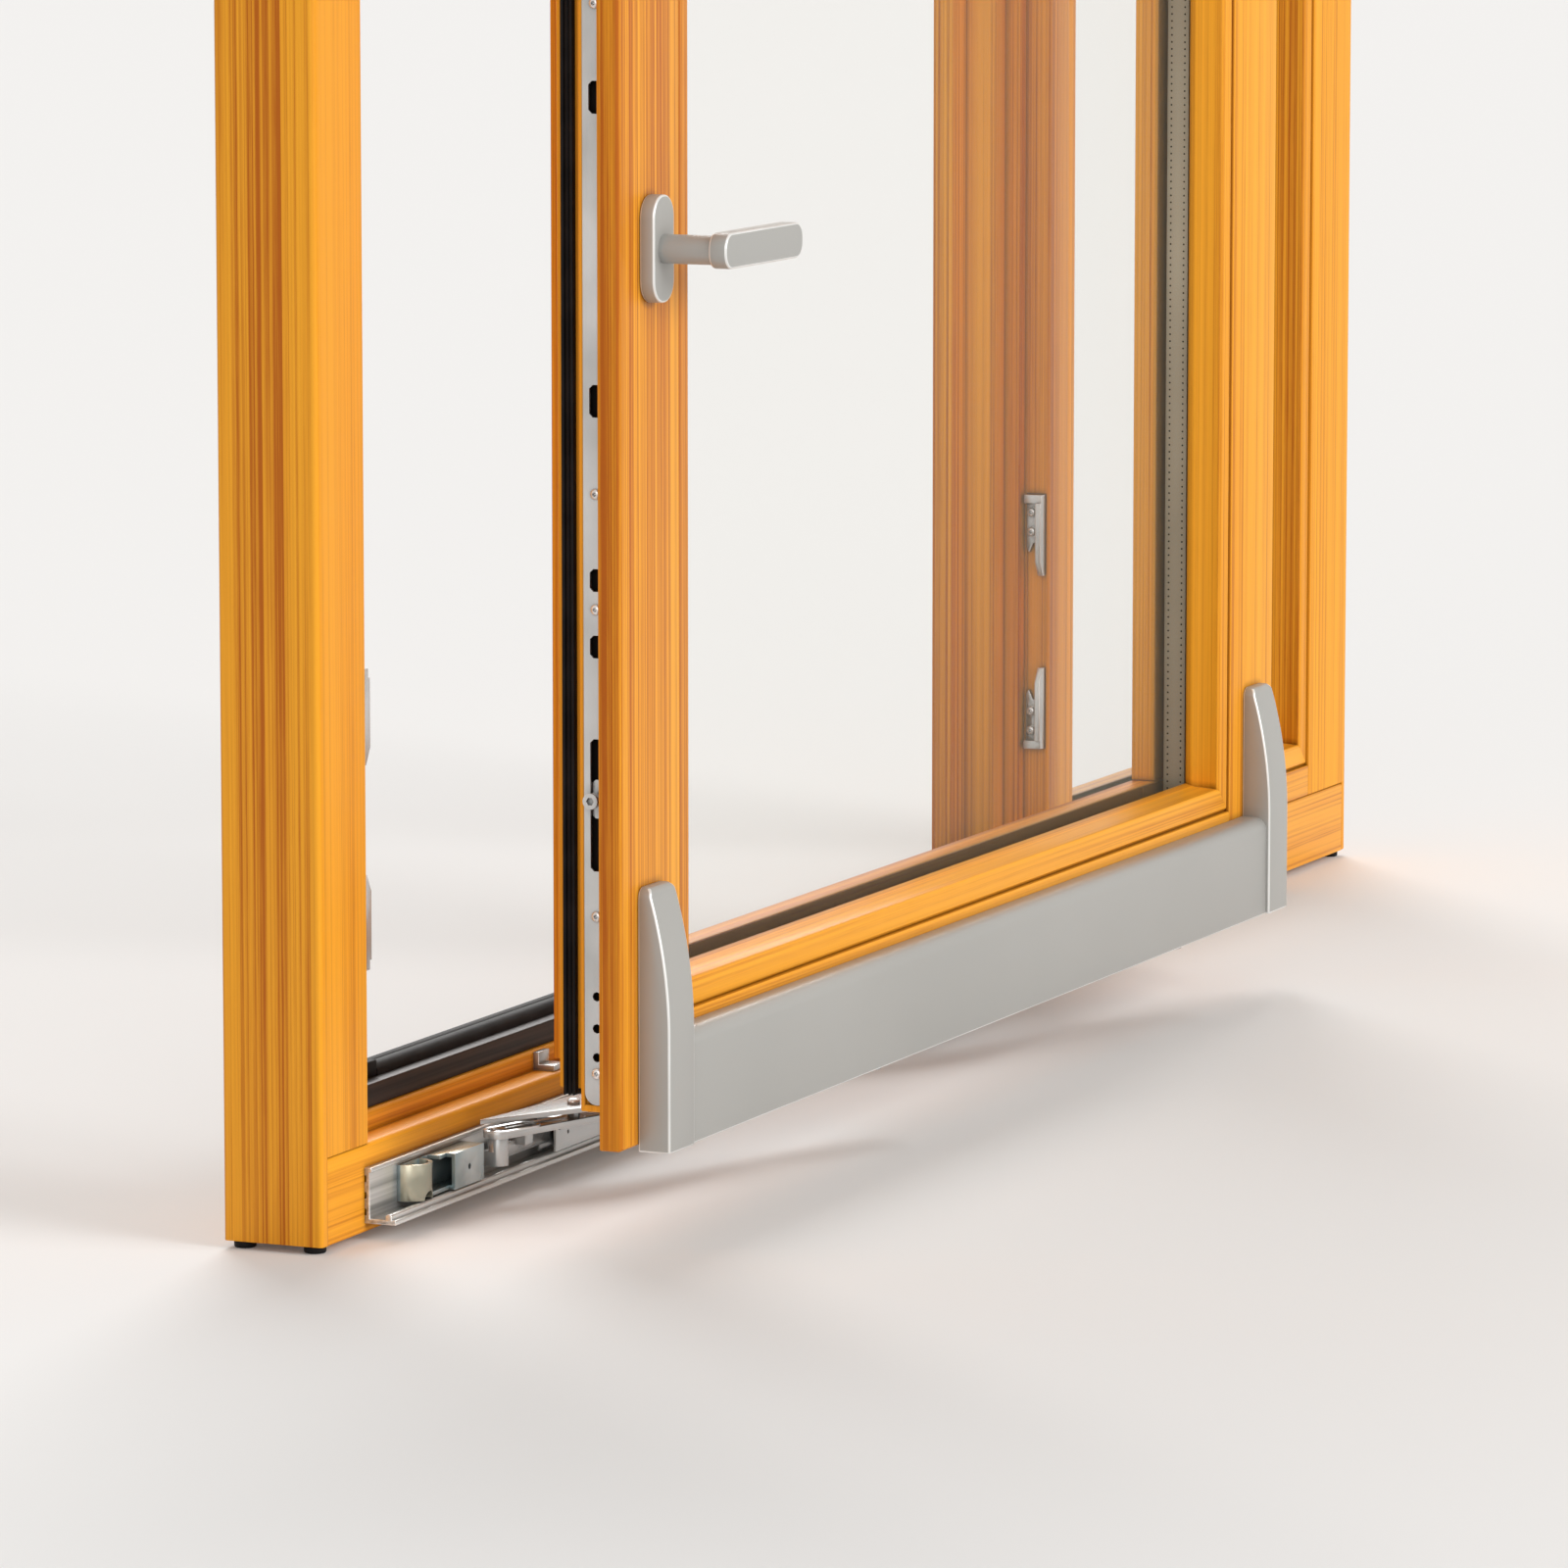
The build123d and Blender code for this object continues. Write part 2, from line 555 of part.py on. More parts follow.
def make_striker(wall, side, low, hook_up):
    """Striker in its pocket: screwed base, end block, and a fence whose prong points at its partner."""
    floor = wall - side * STRIKER_POCKET
    width = STRIKER_WIDTH
    length = STRIKER_LENGTH
    start = low if hook_up else low + length
    way = 1 if hook_up else -1
    end_block = 0.1 * length

    def spot(across, along):
        return (STRIKER_SET + across, start + way * along)

    corners = [spot(0, 0), spot(width, 0), spot(width, 0.66 * length), spot(0.85 * width, 0.72 * length)]
    corners += [spot(0.62 * width, 0.6 * length), spot(STRIKER_FENCE, 0.6 * length)]
    corners += [spot(STRIKER_FENCE, length), spot(0, length)]
    base = along_x(outline(corners), *sorted((floor, floor + side * STRIKER_BASE)))
    reach = [(0, end_block), (STRIKER_REACH, end_block), (STRIKER_REACH, 0.82 * length)]
    reach += [(0.5 * STRIKER_REACH, length), (0, length)]
    fence = outline([(floor + side * out, start + way * along) for out, along in reach])
    fence = along_y(fence, STRIKER_SET, STRIKER_SET + STRIKER_FENCE)
    rise = sorted((floor, floor + side * 0.8 * STRIKER_REACH))
    stop = block(rise, (STRIKER_SET, STRIKER_SET + width), sorted((start, start + way * end_block)))
    body = base + fence + stop
    for along in (0.22, 0.46):
        across, height = spot(0.62 * width, along * length)
        boss = Pos(across, height) * RegularPolygon(0.3 * width, FEW_SIDES)
        body = body + along_x(boss, *sorted((floor, floor + side * 1.25 * STRIKER_BASE)))
    return body


def make_strikers(wall, side):
    """Two mirrored pairs, one near each end of the bay."""
    lower = STRIKER_LOW
    upper = STRIKER_LOW + STRIKER_LENGTH + STRIKER_GAP
    mirrored = [FRAME_HEIGHT - lower - STRIKER_LENGTH, FRAME_HEIGHT - upper - STRIKER_LENGTH]
    places = [(lower, True), (upper, False), (mirrored[0], False), (mirrored[1], True)]
    return [make_striker(wall, side, low, hook_up) for low, hook_up in places]


keep("strikers_left_post", *make_strikers(POST_FACE, 1))
keep("strikers_mullion", *make_strikers(MULLION_LEFT, -1))


# Cover profile and caps on the sash's bottom rail
def make_cover():
    """Thin aluminium cover: upright front, rounded shoulder, short return underneath."""
    front = SASH_FRONT - COVER_DEPTH
    back = SASH_FRONT
    outer = [(front, COVER_BOTTOM), (front, COVER_TOP), (back, COVER_TOP), (back, COVER_BOTTOM)]
    wall = COVER_WALL
    inner = [(front + wall, COVER_BOTTOM + wall), (front + wall, COVER_TOP - wall)]
    inner += [(back + PAST, COVER_TOP - wall), (back + PAST, COVER_BOTTOM + wall)]
    start = SASH_LEFT + CAP_INSET + CAP_WIDTH
    end = SASH_RIGHT - CAP_INSET - CAP_WIDTH
    shell = along_x(outline(outer, {1: COVER_ROUND}), start, end)
    return shell - along_x(outline(inner, {1: COVER_ROUND - wall}), start - PAST, end + PAST)


def make_cap(start):
    """End cap: upright below, then curving back to a slim rounded tip."""
    back = SASH_FRONT
    front = back - CAP_DEPTH
    tip = back - CAP_TIP
    round_off = CAP_TIP * 0.6
    shoulder = CAP_TOP - round_off
    base = Polyline((back, CAP_TOP), (back, COVER_BOTTOM), (front, COVER_BOTTOM), (front, CAP_STRAIGHT))
    sweep = TangentArc((front, CAP_STRAIGHT), (tip, shoulder), tangent=(0, 1))
    bulge = (tip + round_off * 0.35, CAP_TOP - round_off * 0.25)
    crown = ThreePointArc((tip, shoulder), bulge, (tip + round_off, CAP_TOP))
    flat = Line((tip + round_off, CAP_TOP), (back, CAP_TOP))
    cap = along_x(make_face([base, sweep, crown, flat]), start, start + CAP_WIDTH)
    end = start + CAP_WIDTH
    front_view = [(start, COVER_BOTTOM), (end, COVER_BOTTOM), (end, CAP_TOP), (start, CAP_TOP)]
    return cap & along_y(outline(front_view, {2: CAP_ROUND, 3: CAP_ROUND}), front - PAST, back)


keep("cover_profile", make_cover())
keep("cover_cap_left", make_cap(SASH_LEFT + CAP_INSET))
keep("cover_cap_right", make_cap(SASH_RIGHT - CAP_INSET - CAP_WIDTH))


# Running track and head guide
def make_track():
    """L-shaped track with a hooked top lip and a running bead near the flange's edge."""
    top = TRACK_BOTTOM + TRACK_HEIGHT
    lip = top - TRACK_FLANGE
    flange = TRACK_BOTTOM + TRACK_FLANGE
    corners = [(0, TRACK_BOTTOM), (0, top), (-TRACK_LIP, top), (-TRACK_LIP, lip), (-TRACK_WEB, lip)]
    corners += [(-TRACK_WEB, flange), (-TRACK_OUT, flange), (-TRACK_OUT, TRACK_BOTTOM)]
    bead = (-BEAD_RAIL_AT - BEAD_RAIL_RADIUS, -BEAD_RAIL_AT + BEAD_RAIL_RADIUS)
    rail = [(bead[0], TRACK_BOTTOM), (bead[0], BEAD_RAIL_TOP)]
    rail += [(bead[1], BEAD_RAIL_TOP), (bead[1], TRACK_BOTTOM)]
    rail = outline(rail, {1: 0.8 * BEAD_RAIL_RADIUS, 2: 0.8 * BEAD_RAIL_RADIUS})
    track = along_x(outline(corners, {2: 0.4 * TRACK_FLANGE, 6: 0.3 * TRACK_FLANGE}), TRACK_START, TRACK_END)
    track = track + along_x(rail, TRACK_START, TRACK_END)
    for share in (0.2, 0.5, 0.8):
        low = TRACK_BOTTOM + share * TRACK_HEIGHT - TRACK_GROOVE / 2
        deep = (-TRACK_GROOVE_DEPTH, PAST)
        track = track - block((TRACK_START - PAST, TRACK_END + PAST), deep, (low, low + TRACK_GROOVE))
    return track


def make_guide():
    """C-shaped head guide, slotted underneath for the stays' sliders."""
    top = GUIDE_BOTTOM + GUIDE_HEIGHT
    shell = block((TRACK_START, TRACK_END), (-GUIDE_OUT, 0), (GUIDE_BOTTOM, top))
    through = (TRACK_START - PAST, TRACK_END + PAST)
    wide = (-GUIDE_OUT + GUIDE_WALL, -GUIDE_WALL)
    inside = block(through, wide, (GUIDE_BOTTOM + GUIDE_WALL, top - GUIDE_WALL))
    middle = -GUIDE_OUT / 2
    narrow = (middle - GUIDE_SLOT / 2, middle + GUIDE_SLOT / 2)
    slot = block(through, narrow, (GUIDE_BOTTOM - PAST, top - GUIDE_HEIGHT / 2))
    return shell - inside - slot


keep("running_track", make_track())
keep("head_guide", make_guide())


# Control block that catches the left stud when the sash closes
def make_control_block():
    """Folded catch on the track's web: a base, a split round cup, and a hooded box open to the cup."""
    end = BLOCK_START + BLOCK_LENGTH
    sheet = BLOCK_SHEET
    web = -TRACK_WEB
    seat = web - sheet
    high = (BLOCK_BOTTOM, BLOCK_TOP)
    base = block((BLOCK_START, end), (seat, web), high)
    cup_x = BLOCK_START + CUP_RADIUS
    cup = upright(cup_x, seat, CUP_RADIUS, *high)
    cup = cup - upright(cup_x, seat, CUP_RADIUS - sheet, BLOCK_BOTTOM + sheet, BLOCK_TOP + PAST)
    cup = cup & block((BLOCK_START - PAST, end), (-BLOCK_OUT - PAST, seat), high)
    notch = (cup_x + 0.2 * CUP_RADIUS, cup_x + 0.2 * CUP_RADIUS + CUP_NOTCH)
    notch_foot = BLOCK_BOTTOM + 0.3 * (BLOCK_TOP - BLOCK_BOTTOM)
    cup = cup - block(notch, (-BLOCK_OUT - PAST, seat - 0.5 * CUP_RADIUS), (notch_foot, BLOCK_TOP + PAST))
    arch = Pos(cup_x, 0, BLOCK_BOTTOM) * Rot(90, 0, 0) * Cylinder(0.4 * CUP_RADIUS, 4 * BLOCK_OUT)
    front_half = (-BLOCK_OUT - PAST, seat - sheet)
    cup = cup - (arch & block((BLOCK_START, end), front_half, (BLOCK_BOTTOM - PAST, BLOCK_TOP)))
    mouth = end - BOX_LENGTH
    box = block((mouth, end), (-BLOCK_OUT, seat), high)
    room = (BLOCK_BOTTOM + sheet, BLOCK_TOP - sheet)
    box = box - block((mouth - PAST, end - sheet), (-BLOCK_OUT + sheet, seat), room)
    hood = block((mouth - BOX_HOOD, mouth), (-0.7 * BLOCK_OUT, seat), (BLOCK_TOP - sheet, BLOCK_TOP))
    tongue = block((cup_x, mouth), (-0.8 * BLOCK_OUT, seat), (BLOCK_BOTTOM, BLOCK_BOTTOM + sheet))
    hole = RegularPolygon(0.8 * sheet, FEW_SIDES)
    hole = Pos(mouth + 0.5 * BOX_LENGTH, (BLOCK_BOTTOM + BLOCK_TOP) / 2) * hole
    hole = along_y(hole, -BLOCK_OUT - PAST, -BLOCK_OUT + 0.8 * sheet)
    return base + cup + box + hood + (tongue - upright(cup_x, seat, CUP_RADIUS - sheet, *high)) - hole


keep("control_block", make_control_block())
buffer_depth = (-CARRIAGE_OUT + TRACK_WEB, -TRACK_WEB)
keep("track_buffer",
     block((TRACK_END - BUFFER_LENGTH, TRACK_END), buffer_depth, (BEAD_RAIL_TOP, CARRIAGE_TOP)))


# Running gear carried by the sash
def make_carriage(shift):
    """Folded steel channel over two wheels, with a tail that ends in the arm's stud."""
    start = CARRIAGE_START + shift
    end = start + CARRIAGE_LENGTH
    stud = STUD_AT + shift
    shell = block((start, end), (-CARRIAGE_OUT, -CARRIAGE_IN), (CARRIAGE_BOTTOM, CARRIAGE_TOP))
    hollow_y = (-CARRIAGE_OUT + SHEET, -CARRIAGE_IN - SHEET)
    hollow = block((start - PAST, end - SHEET), hollow_y, (CARRIAGE_BOTTOM - PAST, CARRIAGE_TOP - SHEET))
    tail_y = (-CARRIAGE_IN - TAIL_SHEET, -CARRIAGE_IN)
    tail = block((stud - STUD_RADIUS, start + LUG_LENGTH), tail_y, (STUD_BOTTOM, TAIL_TOP))
    tail = tail + block((stud - STUD_RADIUS, stud), (STUD_Y, -CARRIAGE_IN), (STUD_BOTTOM, TAIL_TOP))
    lug = stud + LINK_SLOT + LUG_LENGTH
    tail = tail + block((lug, lug + LUG_LENGTH), (STUD_Y, -CARRIAGE_IN), (TAIL_TOP - TAIL_SHEET, LINK_BOTTOM))
    post = upright(stud, STUD_Y, STUD_RADIUS, STUD_BOTTOM, LINK_BOTTOM)
    pivot = upright(stud, STUD_Y, PIVOT_RADIUS, LINK_BOTTOM, LINK_TOP + SHEET)
    axle_z = wheel_height()
    frame = shell - hollow + tail + post + pivot
    for x in wheel_places(shift):
        axle = Rot(90, 0, 0) * Cylinder(PIVOT_RADIUS / 2, CARRIAGE_OUT - CARRIAGE_IN)
        frame = frame + Pos(x, CARRIAGE_Y, axle_z) * axle
    for along, up in ((6, 0.65), (13, 0.68), (19, 0.45)):
        height = CARRIAGE_BOTTOM + up * (CARRIAGE_TOP - CARRIAGE_BOTTOM)
        hole = Pos(start + along, height) * RegularPolygon(SHEET, FEW_SIDES)
        frame = frame - along_y(hole, -CARRIAGE_OUT - PAST, -CARRIAGE_OUT + SHEET)
    return frame


def wheel_places(shift):
    return (CARRIAGE_START + shift + WHEEL_INSET, CARRIAGE_START + shift + CARRIAGE_LENGTH - WHEEL_INSET)


def wheel_height():
    return BEAD_RAIL_TOP + RUNNING_GAP + WHEEL_RADIUS


def make_wheel(x):
    """Plain running wheel on its axle, over the track's bead."""
    place = Pos(x, -BEAD_RAIL_AT, wheel_height()) * Rot(90, 0, 0)
    bore = Cylinder(PIVOT_RADIUS / 2 + PIVOT_PLAY, WHEEL_WIDTH + PAST)
    return place * (Cylinder(WHEEL_RADIUS, WHEEL_WIDTH) - bore)


def make_arm(shift):
    """Swing arm: a round-ended link, and a pointed plate riveted above it."""
    span = math.hypot(ARM_REACH, BRACKET_Y - STUD_Y)
    turn = math.degrees(math.atan2(BRACKET_Y - STUD_Y, ARM_REACH))
    bores = PIVOT_RADIUS + PIVOT_PLAY
    link = Pos(span / 2, 0) * SlotCenterToCenter(span, LINK_WIDTH)
    link = link - Circle(bores) - Pos(span, 0) * Circle(bores)
    link = link - Pos(STUD_RADIUS + LINK_SLOT / 2 + SHEET, 0) * short_slot(LINK_SLOT, LINK_SLOT_WIDTH)
    half = PLATE_WIDTH / 2
    wide = 0.4 * PLATE_LENGTH
    corners = [(-PLATE_TIP, PLATE_TIP_OFF), (wide, half), (PLATE_LENGTH, 0.4 * half)]
    corners += [(PLATE_LENGTH, -0.4 * half), (wide, -half)]
    plate = outline(corners, {1: half, 4: half})
    arm = along_z(link, LINK_BOTTOM, LINK_TOP) + along_z(plate, PLATE_BOTTOM, PLATE_TOP)
    rivet = along_z(RegularPolygon(RIVET_RADIUS, FEW_SIDES), LINK_TOP, PLATE_TOP + SHEET)
    for share in (0.3, 0.5, 0.8):
        arm = arm + Pos(share * PLATE_LENGTH, 0, 0) * rivet
    return Pos(STUD_AT + shift, STUD_Y, 0) * Rot(0, 0, turn) * arm


def make_bracket(shift):
    """Bracket under the sash's bottom rail that holds an arm's outer end."""
    x = STUD_AT + shift + ARM_REACH
    seat = SASH_BOTTOM + STEP_1
    half = BRACKET_LENGTH / 2
    middle = SASH_FRONT + (FLANGE + STEP_2_FROM) / 2
    across = (middle - BRACKET_WIDTH / 2, middle + BRACKET_WIDTH / 2)
    plate = block((x - half, x + half), across, (seat - BRACKET_THICKNESS, seat))
    leg = upright(x, BRACKET_Y, STUD_RADIUS + SHEET, LINK_TOP, seat - BRACKET_THICKNESS)
    pivot = upright(x, BRACKET_Y, PIVOT_RADIUS, LINK_BOTTOM - SHEET, LINK_TOP)
    return plate + leg + pivot


carriage_shifts = (0.0, CARRIAGE_PITCH)
keep("carriages", *[make_carriage(shift) for shift in carriage_shifts])
keep("carriage_wheels", *[make_wheel(x) for shift in carriage_shifts for x in wheel_places(shift)])
keep("swing_arms", *[make_arm(shift) for shift in carriage_shifts])
keep("arm_brackets", *[make_bracket(shift) for shift in carriage_shifts])
rod_start = CARRIAGE_START + CARRIAGE_LENGTH
rod_end = STUD_AT + CARRIAGE_PITCH - STUD_RADIUS
rod_height = (STUD_BOTTOM + TAIL_TOP) / 2
rod = Rot(0, 90, 0) * Cylinder(ROD_RADIUS, rod_end - rod_start)
keep("connecting_rod", Pos((rod_start + rod_end) / 2, CARRIAGE_Y, rod_height) * rod)


# Stays at the head, one over each swing arm
def make_stay(shift):
    """Slider in the head guide, flat stay arm, and the post on the sash's top rail."""
    start = STUD_AT + shift
    end = start + ARM_REACH
    rail_y = -GUIDE_OUT / 2
    arm_top = GUIDE_BOTTOM - STAY_CLEARANCE
    arm_bottom = arm_top - LINK_THICKNESS
    span = math.hypot(end - start, BRACKET_Y - rail_y)
    turn = math.degrees(math.atan2(BRACKET_Y - rail_y, end - start))
    arm = Pos(span / 2, 0) * SlotCenterToCenter(span, STAY_WIDTH)
    arm = Pos(start, rail_y, 0) * Rot(0, 0, turn) * along_z(arm, arm_bottom, arm_top)
    neck = upright(start, rail_y, GUIDE_SLOT / 2 - SHEET / 2, arm_top, GUIDE_BOTTOM + GUIDE_WALL + SHEET)
    inside = GUIDE_OUT / 2 - GUIDE_WALL - SHEET / 2
    slider_z = (GUIDE_BOTTOM + GUIDE_WALL + SHEET, GUIDE_BOTTOM + GUIDE_HEIGHT - GUIDE_WALL - SHEET)
    slider = block((start - STAY_WIDTH, start + STAY_WIDTH), (rail_y - inside, rail_y + inside), slider_z)
    post = upright(end, BRACKET_Y, STUD_RADIUS, SASH_TOP - STEP_1, arm_bottom)
    return arm + neck + slider + post


keep("head_stays", *[make_stay(shift) for shift in carriage_shifts])


# Weather bar with its seal, and the end blocks beside the stops
def make_weather_bar():
    """Bronze aluminium bar on the rail's outdoor shelf, open underneath."""
    seat = RAIL_FACE + RISE_1
    bar = block((POST_FACE, MULLION_LEFT), (BAR_FRONT, BAR_BACK), (seat, seat + BAR_HEIGHT))
    inside_y = (BAR_FRONT + BAR_WALL, BAR_BACK - BAR_WALL)
    through = (POST_FACE - PAST, MULLION_LEFT + PAST)
    inside = block(through, inside_y, (seat - PAST, seat + BAR_HEIGHT - BAR_WALL))
    return bar - inside - left_post - mullion


def make_bar_seal():
    """Round-backed rubber seal along the top of the weather bar."""
    seat = RAIL_FACE + RISE_1 + BAR_HEIGHT
    half = (SEAL_BACK - SEAL_FRONT) / 2
    top = seat + SEAL_HEIGHT
    corners = [(SEAL_FRONT, seat), (SEAL_FRONT, top), (SEAL_BACK, top), (SEAL_BACK, seat)]
    start = POST_FACE + RISE_3 + BAR_END_LENGTH
    end = MULLION_LEFT - RISE_3 - BAR_END_LENGTH
    largest = min(half, SEAL_HEIGHT)
    return along_x(outline(corners, {1: 0.7 * largest, 2: 0.5 * largest}), start, end)


def make_bar_ends():
    """Blocks that close the weather bar's seal against the stops."""
    seat = RAIL_FACE + RISE_1 + BAR_HEIGHT
    high = (seat, seat + 1.3 * SEAL_HEIGHT)
    deep = (SEAL_FRONT, BAR_BACK)
    left = POST_FACE + RISE_3
    right = MULLION_LEFT - RISE_3
    near = block((left, left + BAR_END_LENGTH), deep, high)
    return [near, block((right - BAR_END_LENGTH, right), deep, high)]


keep("weather_bar", make_weather_bar())
keep("weather_bar_seal", make_bar_seal())
keep("weather_bar_ends", *make_bar_ends())


# Small fittings
def make_run_up_block():
    """Small angled steel block on the bottom rail's inner ledge."""
    wide = (RUN_UP_AT, RUN_UP_AT + RUN_UP_LENGTH)
    wall = BRACKET_THICKNESS
    foot = block(wide, (wall, LEDGE_1), (RAIL_FACE, RAIL_FACE + wall))
    return foot + block(wide, (LEDGE_1 - wall, LEDGE_1), (RAIL_FACE, RAIL_FACE + RUN_UP_HEIGHT))


def make_feet():
    """Round rubber feet under the two posts."""
    across = (FOOT_INSET, FRAME_WIDTH - FOOT_INSET)
    deep = (FOOT_INSET, FRAME_DEPTH - FOOT_INSET)
    foot = along_z(RegularPolygon(FOOT_RADIUS, 2 * FEW_SIDES), -FOOT_HEIGHT, 0)
    return [Pos(x, y, 0) * foot for x in across for y in deep]


keep("run_up_block", make_run_up_block())
keep("rubber_feet", *make_feet())


# Lever handle, turned level as it stands while the sash slides
def make_handle():
    x = SASH_LEFT + STILE_FACE / 2
    rose_front = SASH_FRONT - ROSE_DEPTH
    neck_front = rose_front - NECK_LENGTH
    rose_shape = RectangleRounded(ROSE_WIDTH, ROSE_LENGTH, ROSE_WIDTH / 2 - PAST)
    rose = Pos(x, 0, sash_middle) * along_y(rose_shape, rose_front, SASH_FRONT)
    neck = Rot(90, 0, 0) * Cylinder(NECK_RADIUS, NECK_LENGTH)
    neck = Pos(x, (rose_front + neck_front) / 2, sash_middle) * neck
    grip_shape = RectangleRounded(LEVER_LENGTH, LEVER_WIDTH, LEVER_WIDTH / 2 - PAST)
    grip_x = x + LEVER_LENGTH / 2 - LEVER_WIDTH / 2
    grip = Pos(grip_x, 0, sash_middle) * along_y(grip_shape, neck_front - LEVER_DEPTH, neck_front)
    return rose + neck + grip


keep("handle", make_handle())


# The part's origin: the middle of the left post's outer face, where the window is fixed to its wall
def place(shape):
    return Pos(0, -FRAME_DEPTH / 2, -FRAME_HEIGHT / 2) * shape


for name, shapes in PARTS.items():
    solids = [solid for shape in shapes for solid in place(shape).solids()]
    node = solids[0] if len(solids) == 1 else Compound(solids)
    export_step(node, os.path.join("parts", name + ".step"))
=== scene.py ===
import json
import math

import bmesh
import bpy
from mathutils import Matrix, Vector

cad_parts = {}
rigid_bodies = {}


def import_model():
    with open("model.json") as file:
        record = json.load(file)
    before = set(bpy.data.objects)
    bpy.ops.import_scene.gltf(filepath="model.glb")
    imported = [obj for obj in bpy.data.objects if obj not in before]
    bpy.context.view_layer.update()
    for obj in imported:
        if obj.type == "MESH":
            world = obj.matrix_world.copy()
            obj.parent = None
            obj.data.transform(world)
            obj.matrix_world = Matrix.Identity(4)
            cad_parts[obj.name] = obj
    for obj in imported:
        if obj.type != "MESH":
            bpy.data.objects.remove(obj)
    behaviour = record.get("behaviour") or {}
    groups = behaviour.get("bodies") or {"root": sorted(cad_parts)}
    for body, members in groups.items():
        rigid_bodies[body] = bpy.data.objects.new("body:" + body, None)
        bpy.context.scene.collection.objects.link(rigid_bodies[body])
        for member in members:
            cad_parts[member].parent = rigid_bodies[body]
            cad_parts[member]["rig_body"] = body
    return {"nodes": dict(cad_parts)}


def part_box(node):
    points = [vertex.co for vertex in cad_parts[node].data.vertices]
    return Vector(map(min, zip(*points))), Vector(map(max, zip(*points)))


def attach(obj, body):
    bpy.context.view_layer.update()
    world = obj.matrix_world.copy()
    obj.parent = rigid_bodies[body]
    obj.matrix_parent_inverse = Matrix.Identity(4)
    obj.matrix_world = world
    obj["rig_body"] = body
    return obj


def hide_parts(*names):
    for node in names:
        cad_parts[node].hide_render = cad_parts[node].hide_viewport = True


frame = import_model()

bl_info = {
    "name": "Pine sliding window",
    "version": (1, 0, 0),
    "blender": (4, 5, 0),
    "location": "View3D > Sidebar > Window",
    "description": "Timber, glazing, seals, metalwork, screws and studio for a pine sliding window",
    "category": "Object",
}

MM = 0.001

# How the solids are softened, in degrees
FLAT_ANGLE = 0.5        # faces that differ by less are one face
EDGE_ANGLE = 50.0       # outer edges sharper than this are rounded
SMOOTH_ANGLE = 35.0     # edges sharper than this stay crisp in the shading

# Faces that many pieces refer to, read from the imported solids
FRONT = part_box("bottom_rail")[0].y              # frame's room-side face
SASH_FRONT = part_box("sash_left_stile")[0].y     # sash's room-side face
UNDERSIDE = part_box("left_post")[0].z            # frame's lower face
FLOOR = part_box("rubber_feet")[0].z

# Which nodes take which finish, and whether their grain runs upright or level
UPRIGHT_FRAME = ["left_post", "right_post", "mullion", "fixed_bead_left", "fixed_bead_right"]
LEVEL_FRAME = ["bottom_rail", "head_rail", "fixed_sill_packer", "fixed_head_packer"]
LEVEL_FRAME += ["fixed_bead_bottom", "fixed_bead_top"]
UPRIGHT_SASH = ["sash_left_stile", "sash_right_stile", "sash_bead_left", "sash_bead_right"]
LEVEL_SASH = ["sash_bottom_rail", "sash_top_rail", "sash_bead_bottom", "sash_bead_top"]
SILVER = ["cover_profile", "cover_cap_left", "cover_cap_right", "handle"]
TRACKS = ["running_track", "head_guide"]
ZINC = ["strikers_left_post", "strikers_mullion", "run_up_block", "gear_faceplates", "gear_cams"]
ZINC += ["carriages", "carriage_wheels", "swing_arms", "arm_brackets", "connecting_rod", "head_stays"]
RUBBER = ["weather_bar_ends", "rubber_feet", "track_buffer"]

# Sizes from here on are in millimetres

# Section of the sash's seal: (outward, along the depth), three round ribs
SASH_SEAL = [(0, 0), (2.4, 0), (3.6, 0.6), (4.0, 1.5), (3.6, 2.4), (2.4, 3.0), (3.4, 3.6), (4.0, 4.5)]
SASH_SEAL += [(3.4, 5.4), (2.4, 6.0), (3.6, 6.6), (4.0, 7.5), (3.6, 8.4), (2.4, 9.0), (0, 9.0)]
# Section of the weather bar's seal, as shares of its depth and height: a round back and a lower lip
BAR_SEAL = [(0, 0), (0, 0.5), (0.05, 0.76), (0.14, 0.93), (0.26, 1.0), (0.38, 0.95), (0.46, 0.82)]
BAR_SEAL += [(0.51, 0.64), (0.56, 0.78), (0.66, 0.88), (0.8, 0.84), (0.92, 0.66), (1, 0.4), (1, 0)]
RUBBER_EDGE = 1.2

# Timber
LAMELLA = 23.0                          # thickness of a glued layer
FACE_CLEAR = 0.5                        # keeps a front face off the border between two layers
SEAM = 5.0                              # how far the painted shade reaches out of a seam
SEAM_SHADE = 0.8                        # share of the colour that the deepest painted shade takes away

# Spacers in the glass
SPACER_WALL = 7.0                       # from the ring's outside to its inside
HOLE_INSET = 3.0                        # rows of drying holes from the spacer's two sides
HOLE_RADIUS = 0.7
HOLE_LIFT = 0.05                        # keeps a hole's painted shade clear of the metal

# Gear in the sash's edge
FACEPLATE_SCREWS = [44.4, 142.4, 332.4, 403.4]      # from the sash's ends
FACEPLATE_DEPTH = 25.75                 # plate's middle behind the sash's face
CHANNEL_SHADE_DEPTH = 5.0                     # painted shade sheet, this far behind the plate's outer face
CHANNEL_WIDTH = 10.5

# Strikers
STRIKER_SCREWS = [0.22, 0.46]           # shares of a striker's length
STRIKER_LENGTH = 60.0
STRIKER_LOWS = [(162.0, 1), (290.0, -1), (978.0, -1), (850.0, 1)]   # lower end, and which way it points
STRIKER_SCREW_DEPTH = 12.2
STRIKER_HEAD = 3.5                      # screw seat above the rebate's wall
STRIKER_POCKET = 1.5                    # a striker's back behind the rebate's wall

# Metal
CORNER_SHADE_REACH = 9.0                      # how far the painted shade reaches out of a corner
